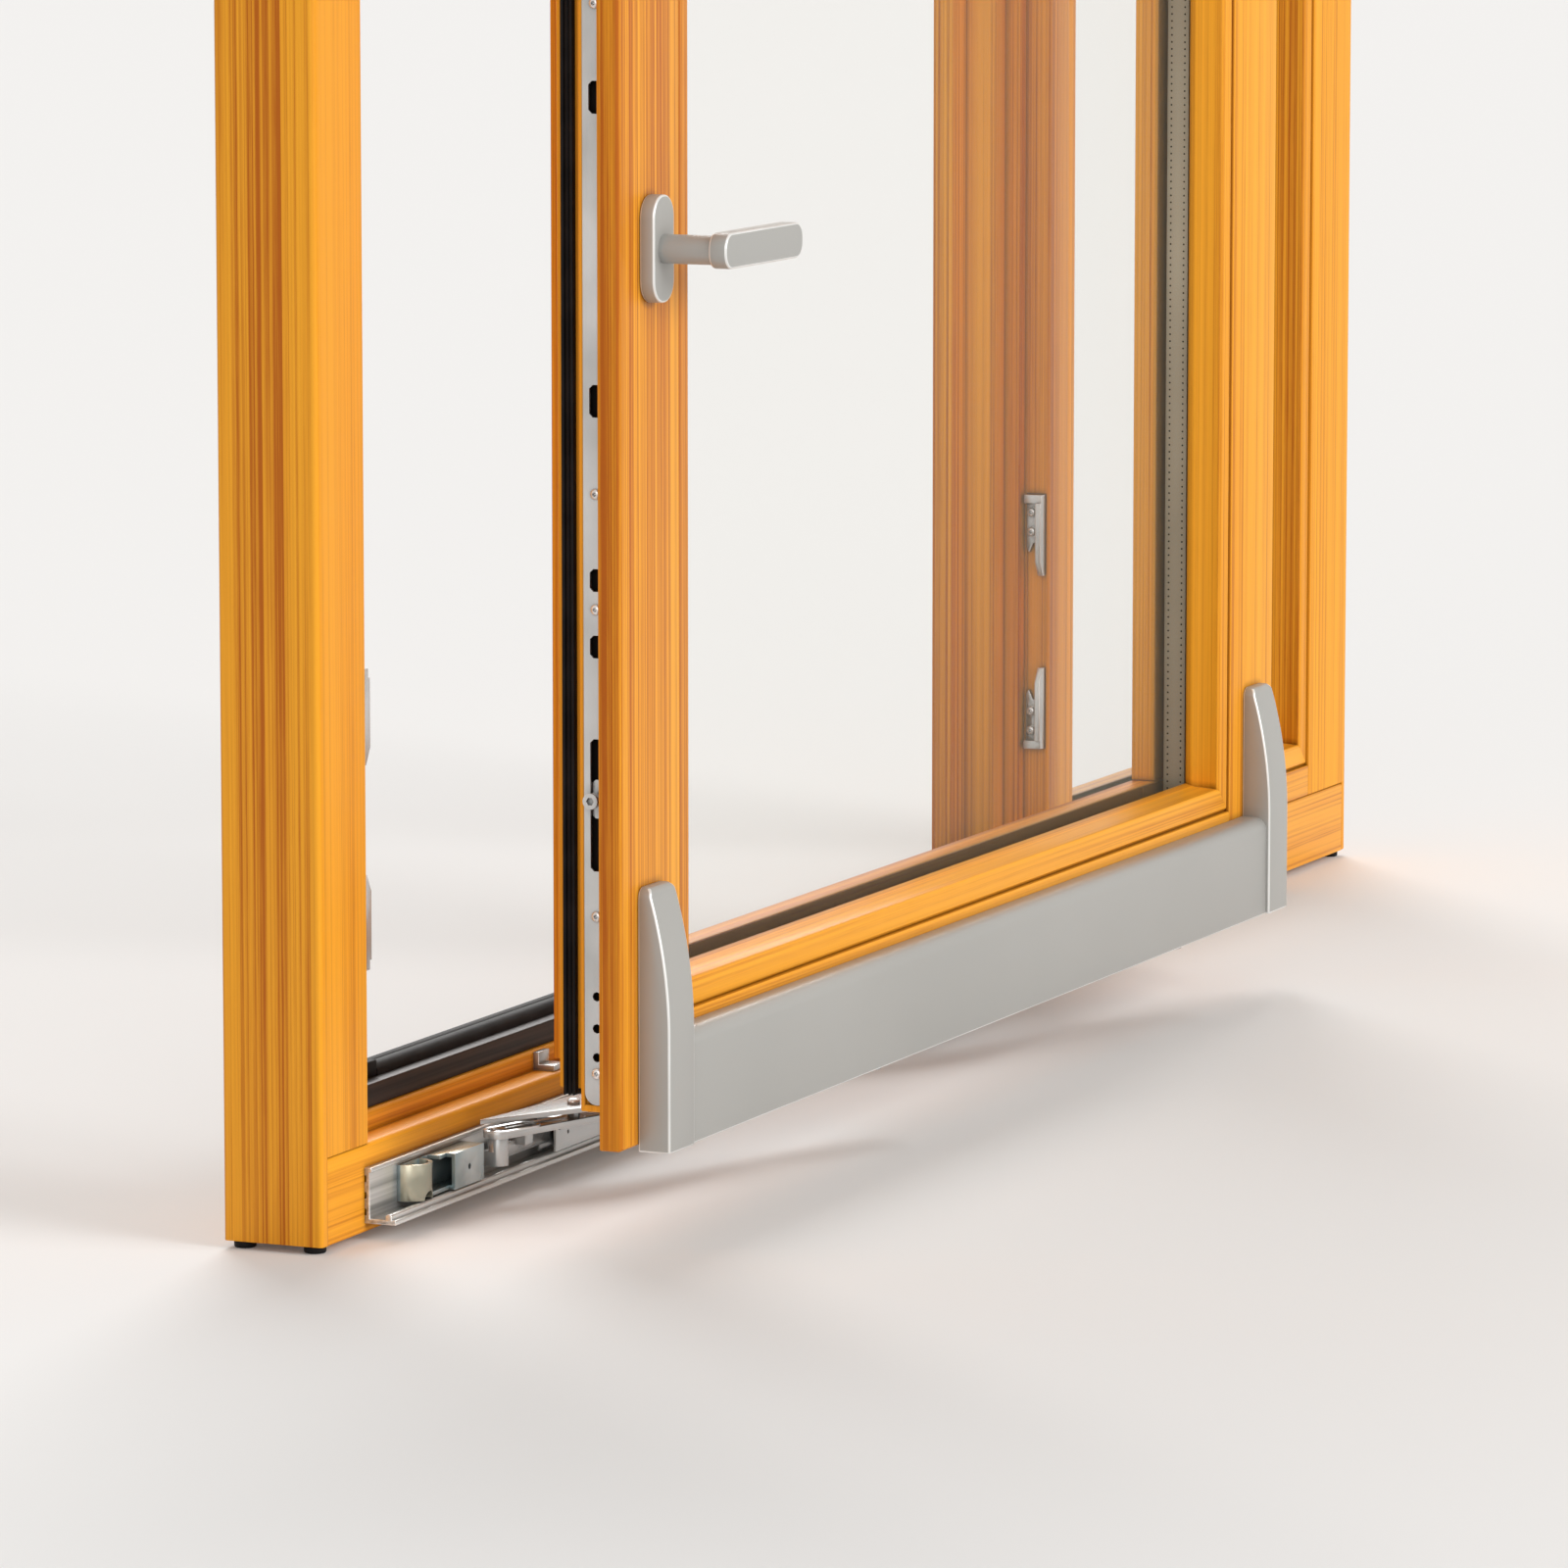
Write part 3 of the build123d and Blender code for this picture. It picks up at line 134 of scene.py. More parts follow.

# Track and control block
TRACK_WEB = 3.5
FIRST_TRACK_SCREW = 140.0
TRACK_SCREW_PITCH = 250.0
CUP_WIDTH = 28.0
BLOCK_BASE = 3.0                        # the block's back plate, which stays blue

# Swing arms: studs along the frame, the arms' bearing, and what is riveted where
STUDS = [211.0, 771.0]
STUD_DEPTH = -19.5                      # in front of the frame's face
ARM_TURN = math.atan2(-114.5, 330.0)
LINK_TOP = 40.0                         # above the frame's lower face
PLATE_TOP = 50.0
RIVETS = [69.0, 115.0, 184.0]           # from the stud
RIVET_RADIUS = 4.4
LINK_RIM = (19.0, 44.0, 2.6, 1.4)       # width, length, thickness and height of the end's rim

# Camera
CAMERA_YAW = 23.43                      # degrees from the frame's length
CAMERA_PITCH = 7.86                     # degrees down
CAMERA_PLACE = (-4645.0, -2321.4, 1003.3)   # from the frame's left end, face and foot


def linear(code):
    """An sRGB hex colour as the linear RGBA that shader sockets take."""
    channels = [int(code[i:i + 2], 16) / 255 for i in (1, 3, 5)]
    return [c / 12.92 if c <= 0.04045 else ((c + 0.055) / 1.055) ** 2.4 for c in channels] + [1.0]


def colour_setting(name, description, code):
    return bpy.props.FloatVectorProperty(
        name=name, description=description, default=linear(code), size=4, min=0.0, max=1.0, subtype="COLOR")


# Settings shown in the sidebar
class WindowLooks(bpy.types.PropertyGroup):
    wood_edge: bpy.props.FloatProperty(
        name="Wood edge", description="Rounding of the timber's sharp edges", default=1.2 * MM, unit="LENGTH")
    metal_edge: bpy.props.FloatProperty(
        name="Metal edge", description="Rounding of the metal's sharp edges", default=0.4 * MM, unit="LENGTH")
    cover_edge: bpy.props.FloatProperty(
        name="Cover edge", description="Rounding of the covers and caps", default=1.2 * MM, unit="LENGTH")
    spacer_pitch: bpy.props.FloatProperty(
        name="Spacer pitch", description="Distance between the spacer's drying holes",
        default=5 * MM, unit="LENGTH")
    screw_radius: bpy.props.FloatProperty(
        name="Screw radius", description="Radius of a screw's head", default=3.4 * MM, unit="LENGTH")
    early_wood: colour_setting("Early wood", "Light wood between the growth lines", "#FAAC2B")
    late_wood: colour_setting("Late wood", "Growth lines", "#B9610D")
    silver: colour_setting("Silver", "Anodised covers", "#ACABA7")
    glass: colour_setting("Glass", "Faint tint of the panes", "#DAD7C4")


class WindowStage(bpy.types.PropertyGroup):
    floor_size: bpy.props.FloatProperty(
        name="Floor", description="Width of the studio floor", default=80.0, unit="LENGTH")
    front_sun: bpy.props.FloatProperty(
        name="Front light", description="Strength of the soft light from the room side", default=1.75)
    side_sun: bpy.props.FloatProperty(
        name="Side light", description="Strength of the soft light from the left", default=0.52)
    back_sun: bpy.props.FloatProperty(
        name="Back light", description="Strength of the soft light from above and behind", default=1.9)
    sky: bpy.props.FloatProperty(
        name="Sky", description="Strength of the light from all sides", default=0.42)
    lens: bpy.props.FloatProperty(
        name="Lens", description="Focal length on a 36 mm sensor, in millimetres", default=197.47)


# Materials
def add(tree, kind, sockets=None, **settings):
    """One node with its settings, and with values or other nodes' outputs on its sockets."""
    node = tree.nodes.new(kind)
    for key, value in settings.items():
        setattr(node, key, value)
    for key, value in (sockets or {}).items():
        if isinstance(value, bpy.types.NodeSocket):
            tree.links.new(value, node.inputs[key])
        else:
            node.inputs[key].default_value = value
    return node


def new_material(name, **values):
    """A material with its shader, whose sockets are given by name with _ for a space."""
    material = bpy.data.materials.new(name)
    material.use_nodes = True
    shader = material.node_tree.nodes["Principled BSDF"]
    for key, value in values.items():
        shader.inputs[key.replace("_", " ")].default_value = value
    return material, material.node_tree, shader


def per_mm(*sizes):
    """Mapping scale that makes a noise's features this many millimetres apart along X, Y and Z."""
    return [1 / (size * MM) for size in sizes]


def shade(ramp, stops):
    """Sets a colour ramp's stops from (position, colour) pairs."""
    elements = ramp.color_ramp.elements
    while len(elements) < len(stops):
        elements.new(0.5)
    for element, (position, colour) in zip(elements, stops):
        element.position = position
        element.color = colour
    return ramp.outputs["Color"]


def blend(light, dark, share):
    """A colour this share of the way from light to dark."""
    return [a + (b - a) * share for a, b in zip(light, dark)]


def pine(name, along, first_face, looks):
    """Laminated pine: layers across the member's depth, each with its own growth lines."""
    material, tree, shader = new_material(name, Roughness=0.42, Specular_IOR_Level=0.2)
    axis = "XYZ".index(along)
    place = add(tree, "ShaderNodeTexCoord").outputs["Object"]
    depth = add(tree, "ShaderNodeSeparateXYZ", {"Vector": place}).outputs["Y"]
    face = first_face - FACE_CLEAR * MM
    behind = add(tree, "ShaderNodeMath", {0: depth, 1: face}, operation="SUBTRACT")
    layer = add(tree, "ShaderNodeMath", {0: behind.outputs[0], 1: LAMELLA * MM}, operation="DIVIDE")
    number = add(tree, "ShaderNodeMath", {0: layer.outputs[0]}, operation="FLOOR")
    own = add(tree, "ShaderNodeObjectInfo").outputs["Random"]
    seed = add(tree, "ShaderNodeMath", {0: own, 1: 40.0, 2: number.outputs[0]}, operation="MULTIPLY_ADD")
    pick = add(tree, "ShaderNodeTexWhiteNoise", {"W": seed.outputs[0]}, noise_dimensions="1D")
    # each layer is cut from its own place in the pattern, up to 2 m away
    moved = add(tree, "ShaderNodeVectorMath", {0: pick.outputs["Color"], 1: (2, 2, 2), 2: place},
                operation="MULTIPLY_ADD").outputs[0]

    def grain(across, lengthwise, detail):
        sizes = [across, across, across]
        sizes[axis] = lengthwise
        stretch = add(tree, "ShaderNodeMapping", {"Vector": moved, "Scale": per_mm(*sizes)})
        sockets = {"Vector": stretch.outputs[0], "Scale": 1.0, "Detail": detail}
        return add(tree, "ShaderNodeTexNoise", sockets).outputs["Fac"]

    # broad light and dark zones, growth lines, and fibres drawn coarser than real ones so that they show
    parts = [(grain(26, 1500, 1), 0.24), (grain(5, 1100, 2), 0.26), (grain(1.7, 900, 2), 0.40)]
    fibres = grain(0.9, 45, 2)
    parts.append((fibres, 0.10))
    tone = add(tree, "ShaderNodeMath", {0: pick.outputs["Value"], 1: 0.10, 2: -0.05},
               operation="MULTIPLY_ADD")
    for value, share in parts:
        tone = add(tree, "ShaderNodeMath", {0: value, 1: share, 2: tone.outputs[0]},
                   operation="MULTIPLY_ADD")
    light, dark = list(looks.early_wood), list(looks.late_wood)
    ramp = add(tree, "ShaderNodeValToRGB", {"Fac": tone.outputs[0]})
    stops = [(0.38, dark), (0.46, blend(light, dark, 0.5)), (0.52, blend(light, dark, 0.2)), (0.61, light)]
    # painted shade: ambient occlusion darkens the wood's colour in seams and rebates
    painted_seam_shade = add(tree, "ShaderNodeAmbientOcclusion", {"Distance": SEAM * MM}, samples=6).outputs["AO"]
    clear = add(tree, "ShaderNodeMath", {0: painted_seam_shade, 1: SEAM_SHADE, 2: 1 - SEAM_SHADE},
                operation="MULTIPLY_ADD")
    wood = add(tree, "ShaderNodeVectorMath", {0: shade(ramp, stops), "Scale": clear.outputs[0]},
               operation="SCALE")
    tree.links.new(wood.outputs[0], shader.inputs["Base Color"])
    bump = add(tree, "ShaderNodeBump", {"Strength": 0.05, "Distance": 0.3 * MM, "Height": fibres})
    tree.links.new(bump.outputs[0], shader.inputs["Normal"])
    return material


def metal(name, light, dark, metallic, roughness, streak, corner_shade):
    """Plated or anodised metal: streaks of tone, and painted shade that darkens its corners and recesses."""
    material, tree, shader = new_material(name, Metallic=metallic, Roughness=roughness)
    place = add(tree, "ShaderNodeTexCoord").outputs["Object"]
    stretch = add(tree, "ShaderNodeMapping", {"Vector": place, "Scale": per_mm(*streak)})
    sockets = {"Vector": stretch.outputs[0], "Scale": 1.0, "Detail": 2.0}
    noise = add(tree, "ShaderNodeTexNoise", sockets).outputs["Fac"]
    tone = shade(add(tree, "ShaderNodeValToRGB", {"Fac": noise}), [(0.35, dark), (0.65, light)])
    # painted shade: ambient occlusion darkens the colour in corners and recesses
    corners = add(tree, "ShaderNodeAmbientOcclusion", {"Distance": CORNER_SHADE_REACH * MM}, samples=8)
    clear = add(tree, "ShaderNodeMath", {0: corners.outputs["AO"], 1: corner_shade, 2: 1 - corner_shade},
                operation="MULTIPLY_ADD")
    mixed = add(tree, "ShaderNodeVectorMath", {0: tone, "Scale": clear.outputs[0]}, operation="SCALE")
    tree.links.new(mixed.outputs[0], shader.inputs["Base Color"])
    bump = add(tree, "ShaderNodeBump", {"Strength": 0.04, "Distance": 0.2 * MM, "Height": noise})
    tree.links.new(bump.outputs[0], shader.inputs["Normal"])
    return material


def rubber(name, light, dark, roughness):
    """Extruded or moulded rubber: nearly even, a little dusty in patches."""
    material, tree, shader = new_material(name, Roughness=roughness, Specular_IOR_Level=0.15)
    place = add(tree, "ShaderNodeTexCoord").outputs["Object"]
    stretch = add(tree, "ShaderNodeMapping", {"Vector": place, "Scale": per_mm(30, 30, 30)})
    noise = add(tree, "ShaderNodeTexNoise", {"Vector": stretch.outputs[0], "Scale": 1.0, "Detail": 3.0})
    ramp = add(tree, "ShaderNodeValToRGB", {"Fac": noise.outputs["Fac"]})
    tree.links.new(shade(ramp, [(0.4, dark), (0.7, light)]), shader.inputs["Base Color"])
    return material


def make_materials(looks):
    silver = list(looks.silver)
    glass, _, _ = new_material("Glass, clear float", Base_Color=looks.glass, Roughness=0.03, Alpha=0.028)
    return {
        # laminated pine under a clear satin lacquer: warm honey colour, dull shine
        "frame_upright": pine("Pine, frame, upright grain", "Z", FRONT, looks),
        "frame_level": pine("Pine, frame, level grain", "X", FRONT, looks),
        "sash_upright": pine("Pine, sash, upright grain", "Z", SASH_FRONT, looks),
        "sash_level": pine("Pine, sash, level grain", "X", SASH_FRONT, looks),
        # silver anodised aluminium: matt, even, hardly mirrors anything; a lighter copy paints highlights on
        # its rounded edges
        "silver": metal("Aluminium, silver anodised", silver, blend(silver, linear("#8F8F8B"), 0.2),
                        metallic=0.15, roughness=0.42, streak=(300, 300, 300), corner_shade=0.25),
        # painted highlight: a lighter copy of the silver for the rounded arrises
        "silver_painted_highlight": metal("Aluminium, painted arris highlight", linear("#EFEFED"), linear("#E2E2E0"),
                             metallic=0.4, roughness=0.3, streak=(60, 60, 60), corner_shade=0.0),
        # extruded aluminium, drawn lines along its length
        "track": metal("Aluminium, extruded", linear("#DCDDDB"), linear("#A6A8A6"),
                       metallic=0.6, roughness=0.3, streak=(900, 4, 4), corner_shade=0.5),
        # zinc plated steel: light and shiny, slightly cloudy; a lighter copy paints highlights on its edges,
        # screws, rivets and rims
        "zinc": metal("Steel, zinc plated", linear("#D6D8D8"), linear("#B9BBBA"),
                      metallic=0.65, roughness=0.25, streak=(90, 60, 60), corner_shade=0.85),
        # painted highlight: a lighter copy of the zinc
        "zinc_painted_highlight": metal("Steel, painted edge highlight", linear("#F0F1F1"), linear("#DDDEDE"),
                           metallic=0.6, roughness=0.2, streak=(40, 40, 40), corner_shade=0.3),
        # blue and yellow passivated zinc of the control block
        "zinc_blue": metal("Steel, blue zinc", linear("#C9D3D4"), linear("#9FB0B3"),
                           metallic=0.65, roughness=0.22, streak=(30, 30, 30), corner_shade=0.85),
        "zinc_yellow": metal("Steel, yellow zinc", linear("#D8D3BC"), linear("#A5A493"),
                             metallic=0.65, roughness=0.22, streak=(20, 20, 20), corner_shade=0.85),
        # bronze anodised bar, nearly black
        "bronze": metal("Aluminium, bronze anodised", linear("#3D302A"), linear("#1D1613"),
                        metallic=0.2, roughness=0.5, streak=(500, 3, 3), corner_shade=0.4),
        # warm grey aluminium spacer tube
        "spacer": metal("Aluminium, spacer", linear("#B7AD98"), linear("#9C927E"),
                        metallic=0.4, roughness=0.45, streak=(200, 200, 200), corner_shade=0.3),
        # black seal rubber, soft sheen
        "rubber": rubber("Rubber, black", linear("#222021"), linear("#111011"), roughness=0.55),
        # painted shade: dark sheets in holes and slots, where only shade falls
        "dark": rubber("Painted shade, holes and slots", linear("#171513"), linear("#0C0B0A"), roughness=0.85),
        # clear float glass: almost nothing but a faint warm haze
        "glass": glass,
    }


# Pieces made from the CAD nodes
def shown(name, mesh):
    """A linked object at the origin that holds one finished mesh."""
    piece = bpy.data.objects.new(name, mesh)
    bpy.context.scene.collection.objects.link(piece)
    return piece


def as_mesh(name, work):
    """Turns a bmesh into a mesh and frees it."""
    mesh = bpy.data.meshes.new(name)
    work.to_mesh(mesh)
    work.free()
    return mesh


def skin(work, loops, closed):
    """Four-sided faces between loops of as many points, and back to the first loop where it is closed."""
    for here, after in zip(loops, loops[1:] + loops[:1] if closed else loops[1:]):
        for i in range(len(here)):
            j = (i + 1) % len(here)
            work.faces.new((here[i], here[j], after[j], after[i]))


def body_of(node):
    return frame["nodes"][node]["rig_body"]


def finished(name, mesh, materials, node, stands_for):
    """Shades a mesh smooth between its sharp edges and lets it ride with a node."""
    for material in materials:
        mesh.materials.append(material)
    mesh.shade_smooth()
    mesh.set_sharp_from_angle(angle=math.radians(SMOOTH_ANGLE))
    piece = shown(name, mesh)
    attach(piece, body_of(node))
    if stands_for:
        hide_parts(node)
    return piece


def soften(node, edge, *materials):
    """A copy of a CAD node with its sharp outer edges rounded, in the last of its materials; for the covers,
    tracks and steel fittings that last one is a lighter copy, a painted highlight.
    """
    mesh = frame["nodes"][node].data.copy()
    mesh.name = node + "_look"
    mesh.materials.clear()
    work = bmesh.new()
    work.from_mesh(mesh)
    bmesh.ops.remove_doubles(work, verts=work.verts, dist=1e-6)
    bmesh.ops.dissolve_limit(work, angle_limit=math.radians(FLAT_ANGLE), verts=work.verts, edges=work.edges)
    limit = math.radians(EDGE_ANGLE)
    sharp = [e for e in work.edges if e.is_manifold and e.calc_face_angle_signed() > limit]
    if edge > 0 and sharp:
        bmesh.ops.bevel(work, geom=sharp, offset=edge, segments=3, profile=0.5, affect="EDGES",
                        clamp_overlap=True, material=len(materials) - 1)
    bmesh.ops.recalc_face_normals(work, faces=work.faces)
    work.to_mesh(mesh)
    work.free()
    return finished(node + "_look", mesh, materials, node, True)


def sealing_ring(node, section, material):
    """A section carried round a rectangular seal, mitred at its corners, which stands for the node."""
    low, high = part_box(node)
    bulge = max(out for out, along in section) * MM
    work = bmesh.new()
    rings = []
    for x_way, z_way in ((-1, -1), (1, -1), (1, 1), (-1, 1)):
        x = low.x + bulge if x_way < 0 else high.x - bulge
        z = low.z + bulge if z_way < 0 else high.z - bulge
        ring = [(x + x_way * out * MM, low.y + along * MM, z + z_way * out * MM) for out, along in section]
        rings.append([work.verts.new(point) for point in ring])
    skin(work, rings, closed=True)
    bmesh.ops.recalc_face_normals(work, faces=work.faces)
    return finished(node + "_look", as_mesh(node + "_look", work), [material], node, True)


def sealing_strip(node, section, material):
    """A section, given as shares of a node's depth and height, drawn along its whole length."""
    low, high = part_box(node)
    size = high - low
    work = bmesh.new()
    ends = []
    for x in (low.x, high.x):
        points = [(x, low.y + size.y * deep, low.z + size.z * up) for deep, up in section]
        ends.append([work.verts.new(point) for point in points])
        work.faces.new(ends[-1])
    skin(work, ends, closed=False)
    bmesh.ops.recalc_face_normals(work, faces=work.faces)
    return finished(node + "_look", as_mesh(node + "_look", work), [material], node, True)


# Rows of like pieces, by geometry nodes
def row_tree():
    """Node group that sets one piece on every point, facing that point's own direction."""
    tree = bpy.data.node_groups.new("Pieces on points", "GeometryNodeTree")
    inputs = [("Points", "Geometry"), ("Piece", "Object"), ("Size", "Float"), ("Finish", "Material")]
    for name, kind in inputs:
        tree.interface.new_socket(name, in_out="INPUT", socket_type="NodeSocket" + kind)
    tree.interface.new_socket("Pieces", in_out="OUTPUT", socket_type="NodeSocketGeometry")
    start = add(tree, "NodeGroupInput").outputs
    piece = add(tree, "GeometryNodeObjectInfo", {"Object": start["Piece"]})
    facing = add(tree, "GeometryNodeInputNamedAttribute", {"Name": "facing"}, data_type="FLOAT_VECTOR")
    turn = add(tree, "FunctionNodeAlignRotationToVector", {"Vector": facing.outputs["Attribute"]}, axis="Z")
    put = add(tree, "GeometryNodeInstanceOnPoints", {
        "Points": start["Points"], "Instance": piece.outputs["Geometry"],
        "Rotation": turn.outputs["Rotation"], "Scale": start["Size"]})
    real = add(tree, "GeometryNodeRealizeInstances", {"Geometry": put.outputs["Instances"]})
    finish = add(tree, "GeometryNodeSetMaterial", {"Geometry": real.outputs[0], "Material": start["Finish"]})
    add(tree, "NodeGroupOutput", {"Pieces": finish.outputs["Geometry"]})
    return tree


def row(name, pattern, places, size, material, node):
    """One mesh of a pattern repeated at (place, facing) pairs, riding with a node."""
    mesh = bpy.data.meshes.new(name)
    mesh.from_pydata([place for place, facing in places], [], [])
    facing = mesh.attributes.new("facing", "FLOAT_VECTOR", "POINT")
    facing.data.foreach_set("vector", [c for place, way in places for c in way])
    points = shown(name + "_points", mesh)
    modifier = points.modifiers.new("Pieces on points", "NODES")
    modifier.node_group = bpy.data.node_groups.get("Pieces on points") or row_tree()
    values = {"Piece": pattern, "Size": size, "Finish": material}
    for item in modifier.node_group.interface.items_tree:
        if item.in_out == "INPUT" and item.name in values:
            modifier[item.identifier] = values[item.name]
    points.update_tag()
    bpy.context.view_layer.update()
    ready = points.evaluated_get(bpy.context.evaluated_depsgraph_get())
    result = bpy.data.meshes.new_from_object(ready)
    if not result.polygons:
        raise RuntimeError("no pieces were made for " + name)
    points.modifiers.clear()
    bpy.data.objects.remove(points)
    result.name = name
    result.materials.clear()
    return finished(name, result, [material], node, False)


def put_away(pattern):
    """Removes a pattern once its copies are made."""
    mesh = pattern.data
    bpy.data.objects.remove(pattern)
    bpy.data.meshes.remove(mesh)


def screw_pattern():
    """A pan-headed screw of radius 1 on the floor of its own axes, with a cross cut into it."""
    work = bmesh.new()
    count = 16
    angles = [2 * math.pi * i / count for i in range(count)]
    loops = []
    for radius, height in ((1.0, -0.1), (1.0, 0.18), (0.9, 0.36), (0.66, 0.5), (0.4, 0.55)):
        loops.append([work.verts.new((radius * math.cos(a), radius * math.sin(a), height)) for a in angles])
    # the cross's floor is pinched in between its four arms
    floor = []
    for i, corner in enumerate(loops[-1]):
        arm = 0.9 if i % 4 == 0 else 0.3
        floor.append(work.verts.new((corner.co.x * arm, corner.co.y * arm, 0.15)))
    skin(work, loops + [floor], closed=False)
    work.faces.new(floor)
    work.faces.new(loops[0][::-1])
    return shown("screw_pattern", as_mesh("screw_pattern", work))


def disc_pattern():
    """A flat round of radius 1, a disc of painted shade for a hole's mouth."""
    work = bmesh.new()
    bmesh.ops.create_circle(work, cap_ends=True, segments=8, radius=1.0)
    return shown("disc_pattern", as_mesh("disc_pattern", work))


def strip_pattern():
    """A flat upright strip 1 wide and 100 long, for the painted shade in the gear's channel."""
    mesh = bpy.data.meshes.new("strip_pattern")
    mesh.from_pydata([(-50, -0.5, 0), (50, -0.5, 0), (50, 0.5, 0), (-50, 0.5, 0)], [], [(0, 1, 2, 3)])
    return shown("strip_pattern", mesh)


def dome_pattern():
    """A low round rivet head of radius 1 on the floor of its own axes."""
    work = bmesh.new()
    bmesh.ops.create_uvsphere(work, u_segments=16, v_segments=10, radius=1.0)
    under = [v for v in work.verts if v.co.z < -0.01]
    bmesh.ops.delete(work, geom=under, context="VERTS")
    for vert in work.verts:
        vert.co.z *= 0.55
    return shown("dome_pattern", as_mesh("dome_pattern", work))


def on_arm(stud, along, across, height):
    """A place on a swing arm, counted from its stud along and across the arm."""
    cos, sin = math.cos(ARM_TURN), math.sin(ARM_TURN)
    x = stud + along * cos - across * sin
    y = STUD_DEPTH + along * sin + across * cos
    return (x * MM, y * MM + FRONT, height * MM + UNDERSIDE)


def link_rims(material):
    """Raised oval rims round the swing arms' stud ends."""
    width, length, thick, height = LINK_RIM
    half, run = width / 2, length - width
    angles = [math.pi / 2 + math.pi * i / 12 for i in range(13)]
    spine = [(0, math.cos(a), math.sin(a)) for a in angles]
    spine += [(run, -math.cos(a), -math.sin(a)) for a in angles]
    section = [(half, 0), (half, 0.7 * height), (half - 0.4 * thick, height), (half - thick, 0.7 * height)]
    section.append((half - thick, 0))
    work = bmesh.new()
    for stud in STUDS:
        loops = []
        for start, out, side in spine:
            ring = [on_arm(stud, start + out * r, side * r, LINK_TOP + up) for r, up in section]
            loops.append([work.verts.new(point) for point in ring])
        skin(work, loops, closed=True)
    bmesh.ops.recalc_face_normals(work, faces=work.faces)
    return finished("link_rims", as_mesh("link_rims", work), [material], "swing_arms", False)


def steps(low, high, pitch):
    """Even places between two ends, about one pitch apart."""
    count = max(2, round((high - low) / pitch))
    return [low + (high - low) * (i + 0.5) / count for i in range(count)]


def spacer_holes(node, pitch):
    """Two rows of drying holes along each inner side of a spacer ring, each drawn as a disc of painted shade.
    """
    low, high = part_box(node)
    wall, inset, lift = SPACER_WALL * MM, HOLE_INSET * MM, HOLE_LIFT * MM
    places = []
    for depth in (low.y + inset, high.y - inset):
        for x in steps(low.x + wall, high.x - wall, pitch):
            places.append(((x, depth, low.z + wall + lift), (0, 0, 1)))
            places.append(((x, depth, high.z - wall - lift), (0, 0, -1)))
        for z in steps(low.z + wall, high.z - wall, pitch):
            places.append(((low.x + wall + lift, depth, z), (1, 0, 0)))
            places.append(((high.x - wall - lift, depth, z), (-1, 0, 0)))
    return places


def track_screws(node, depth):
    """Screws along the middle of a track or guide, facing the room."""
    low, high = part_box(node)
    middle = (low.z + high.z) / 2
    along = steps(low.x + FIRST_TRACK_SCREW * MM, high.x, TRACK_SCREW_PITCH * MM)
    return [((x, depth, middle), (0, -1, 0)) for x in along]


def faceplate_screws():
    """Screws in both faceplates, alike from the sash's two ends."""
    low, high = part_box("gear_faceplates")
    bottom, top = (corner.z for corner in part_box("sash_left_stile"))
    depth = SASH_FRONT + FACEPLATE_DEPTH * MM
    places = []
    for x, way in ((low.x, -1), (high.x, 1)):
        for place in FACEPLATE_SCREWS:
            for z in (bottom + place * MM, top - place * MM):
                places.append(((x, depth, z), (way, 0, 0)))
    return places


def striker_screws(wall, way):
    """Two screws in each of the four strikers on a rebate's wall, which faces this way along X."""
    seat = wall + way * STRIKER_HEAD * MM
    depth = FRONT + STRIKER_SCREW_DEPTH * MM
    places = []
    for low, points in STRIKER_LOWS:
        start = low if points > 0 else low + STRIKER_LENGTH
        for share in STRIKER_SCREWS:
            z = UNDERSIDE + (start + points * share * STRIKER_LENGTH) * MM
            places.append(((seat, depth, z), (way, 0, 0)))
    return places


# Operators, one for each group of pieces and one for the stage
MATERIALS = {}


def finishes(context):
    """The window's materials, made from the sidebar's settings when they are first asked for."""
    if not MATERIALS:
        MATERIALS.update(make_materials(context.scene.window_looks))
    return MATERIALS


class WINDOW_OT_timber(bpy.types.Operator):
    """Pine frame, sash and beads"""
    bl_idname = "window.timber"
    bl_label = "Timber"

    def execute(self, context):
        edge = context.scene.window_looks.wood_edge
        groups = [(UPRIGHT_FRAME, "frame_upright"), (LEVEL_FRAME, "frame_level")]
        groups += [(UPRIGHT_SASH, "sash_upright"), (LEVEL_SASH, "sash_level")]
        for nodes, finish in groups:
            for node in nodes:
                soften(node, edge, finishes(context)[finish])
        return {"FINISHED"}


class WINDOW_OT_glazing(bpy.types.Operator):
    """Panes and perforated spacers"""
    bl_idname = "window.glazing"
    bl_label = "Glazing"

    def execute(self, context):
        finish = finishes(context)
        pitch = context.scene.window_looks.spacer_pitch
        hole = disc_pattern()
        for light in ("fixed", "sash"):
            spacer = light + "_spacer"
            soften(light + "_panes", 0.0, finish["glass"])
            soften(spacer, 0.0, finish["spacer"])
            places = spacer_holes(spacer, pitch)
            # painted shade: a dark disc in each drying hole
            row(spacer + "_holes", hole, places, HOLE_RADIUS * MM, finish["dark"], spacer)
        put_away(hole)
        return {"FINISHED"}


class WINDOW_OT_seals(bpy.types.Operator):
    """Rubber seals, feet and buffer"""
    bl_idname = "window.seals"
    bl_label = "Seals"

    def execute(self, context):
        black = finishes(context)["rubber"]
        for node in RUBBER:
            soften(node, RUBBER_EDGE * MM, black)
        sealing_ring("sash_gasket", SASH_SEAL, black)
        sealing_strip("weather_bar_seal", BAR_SEAL, black)
        return {"FINISHED"}


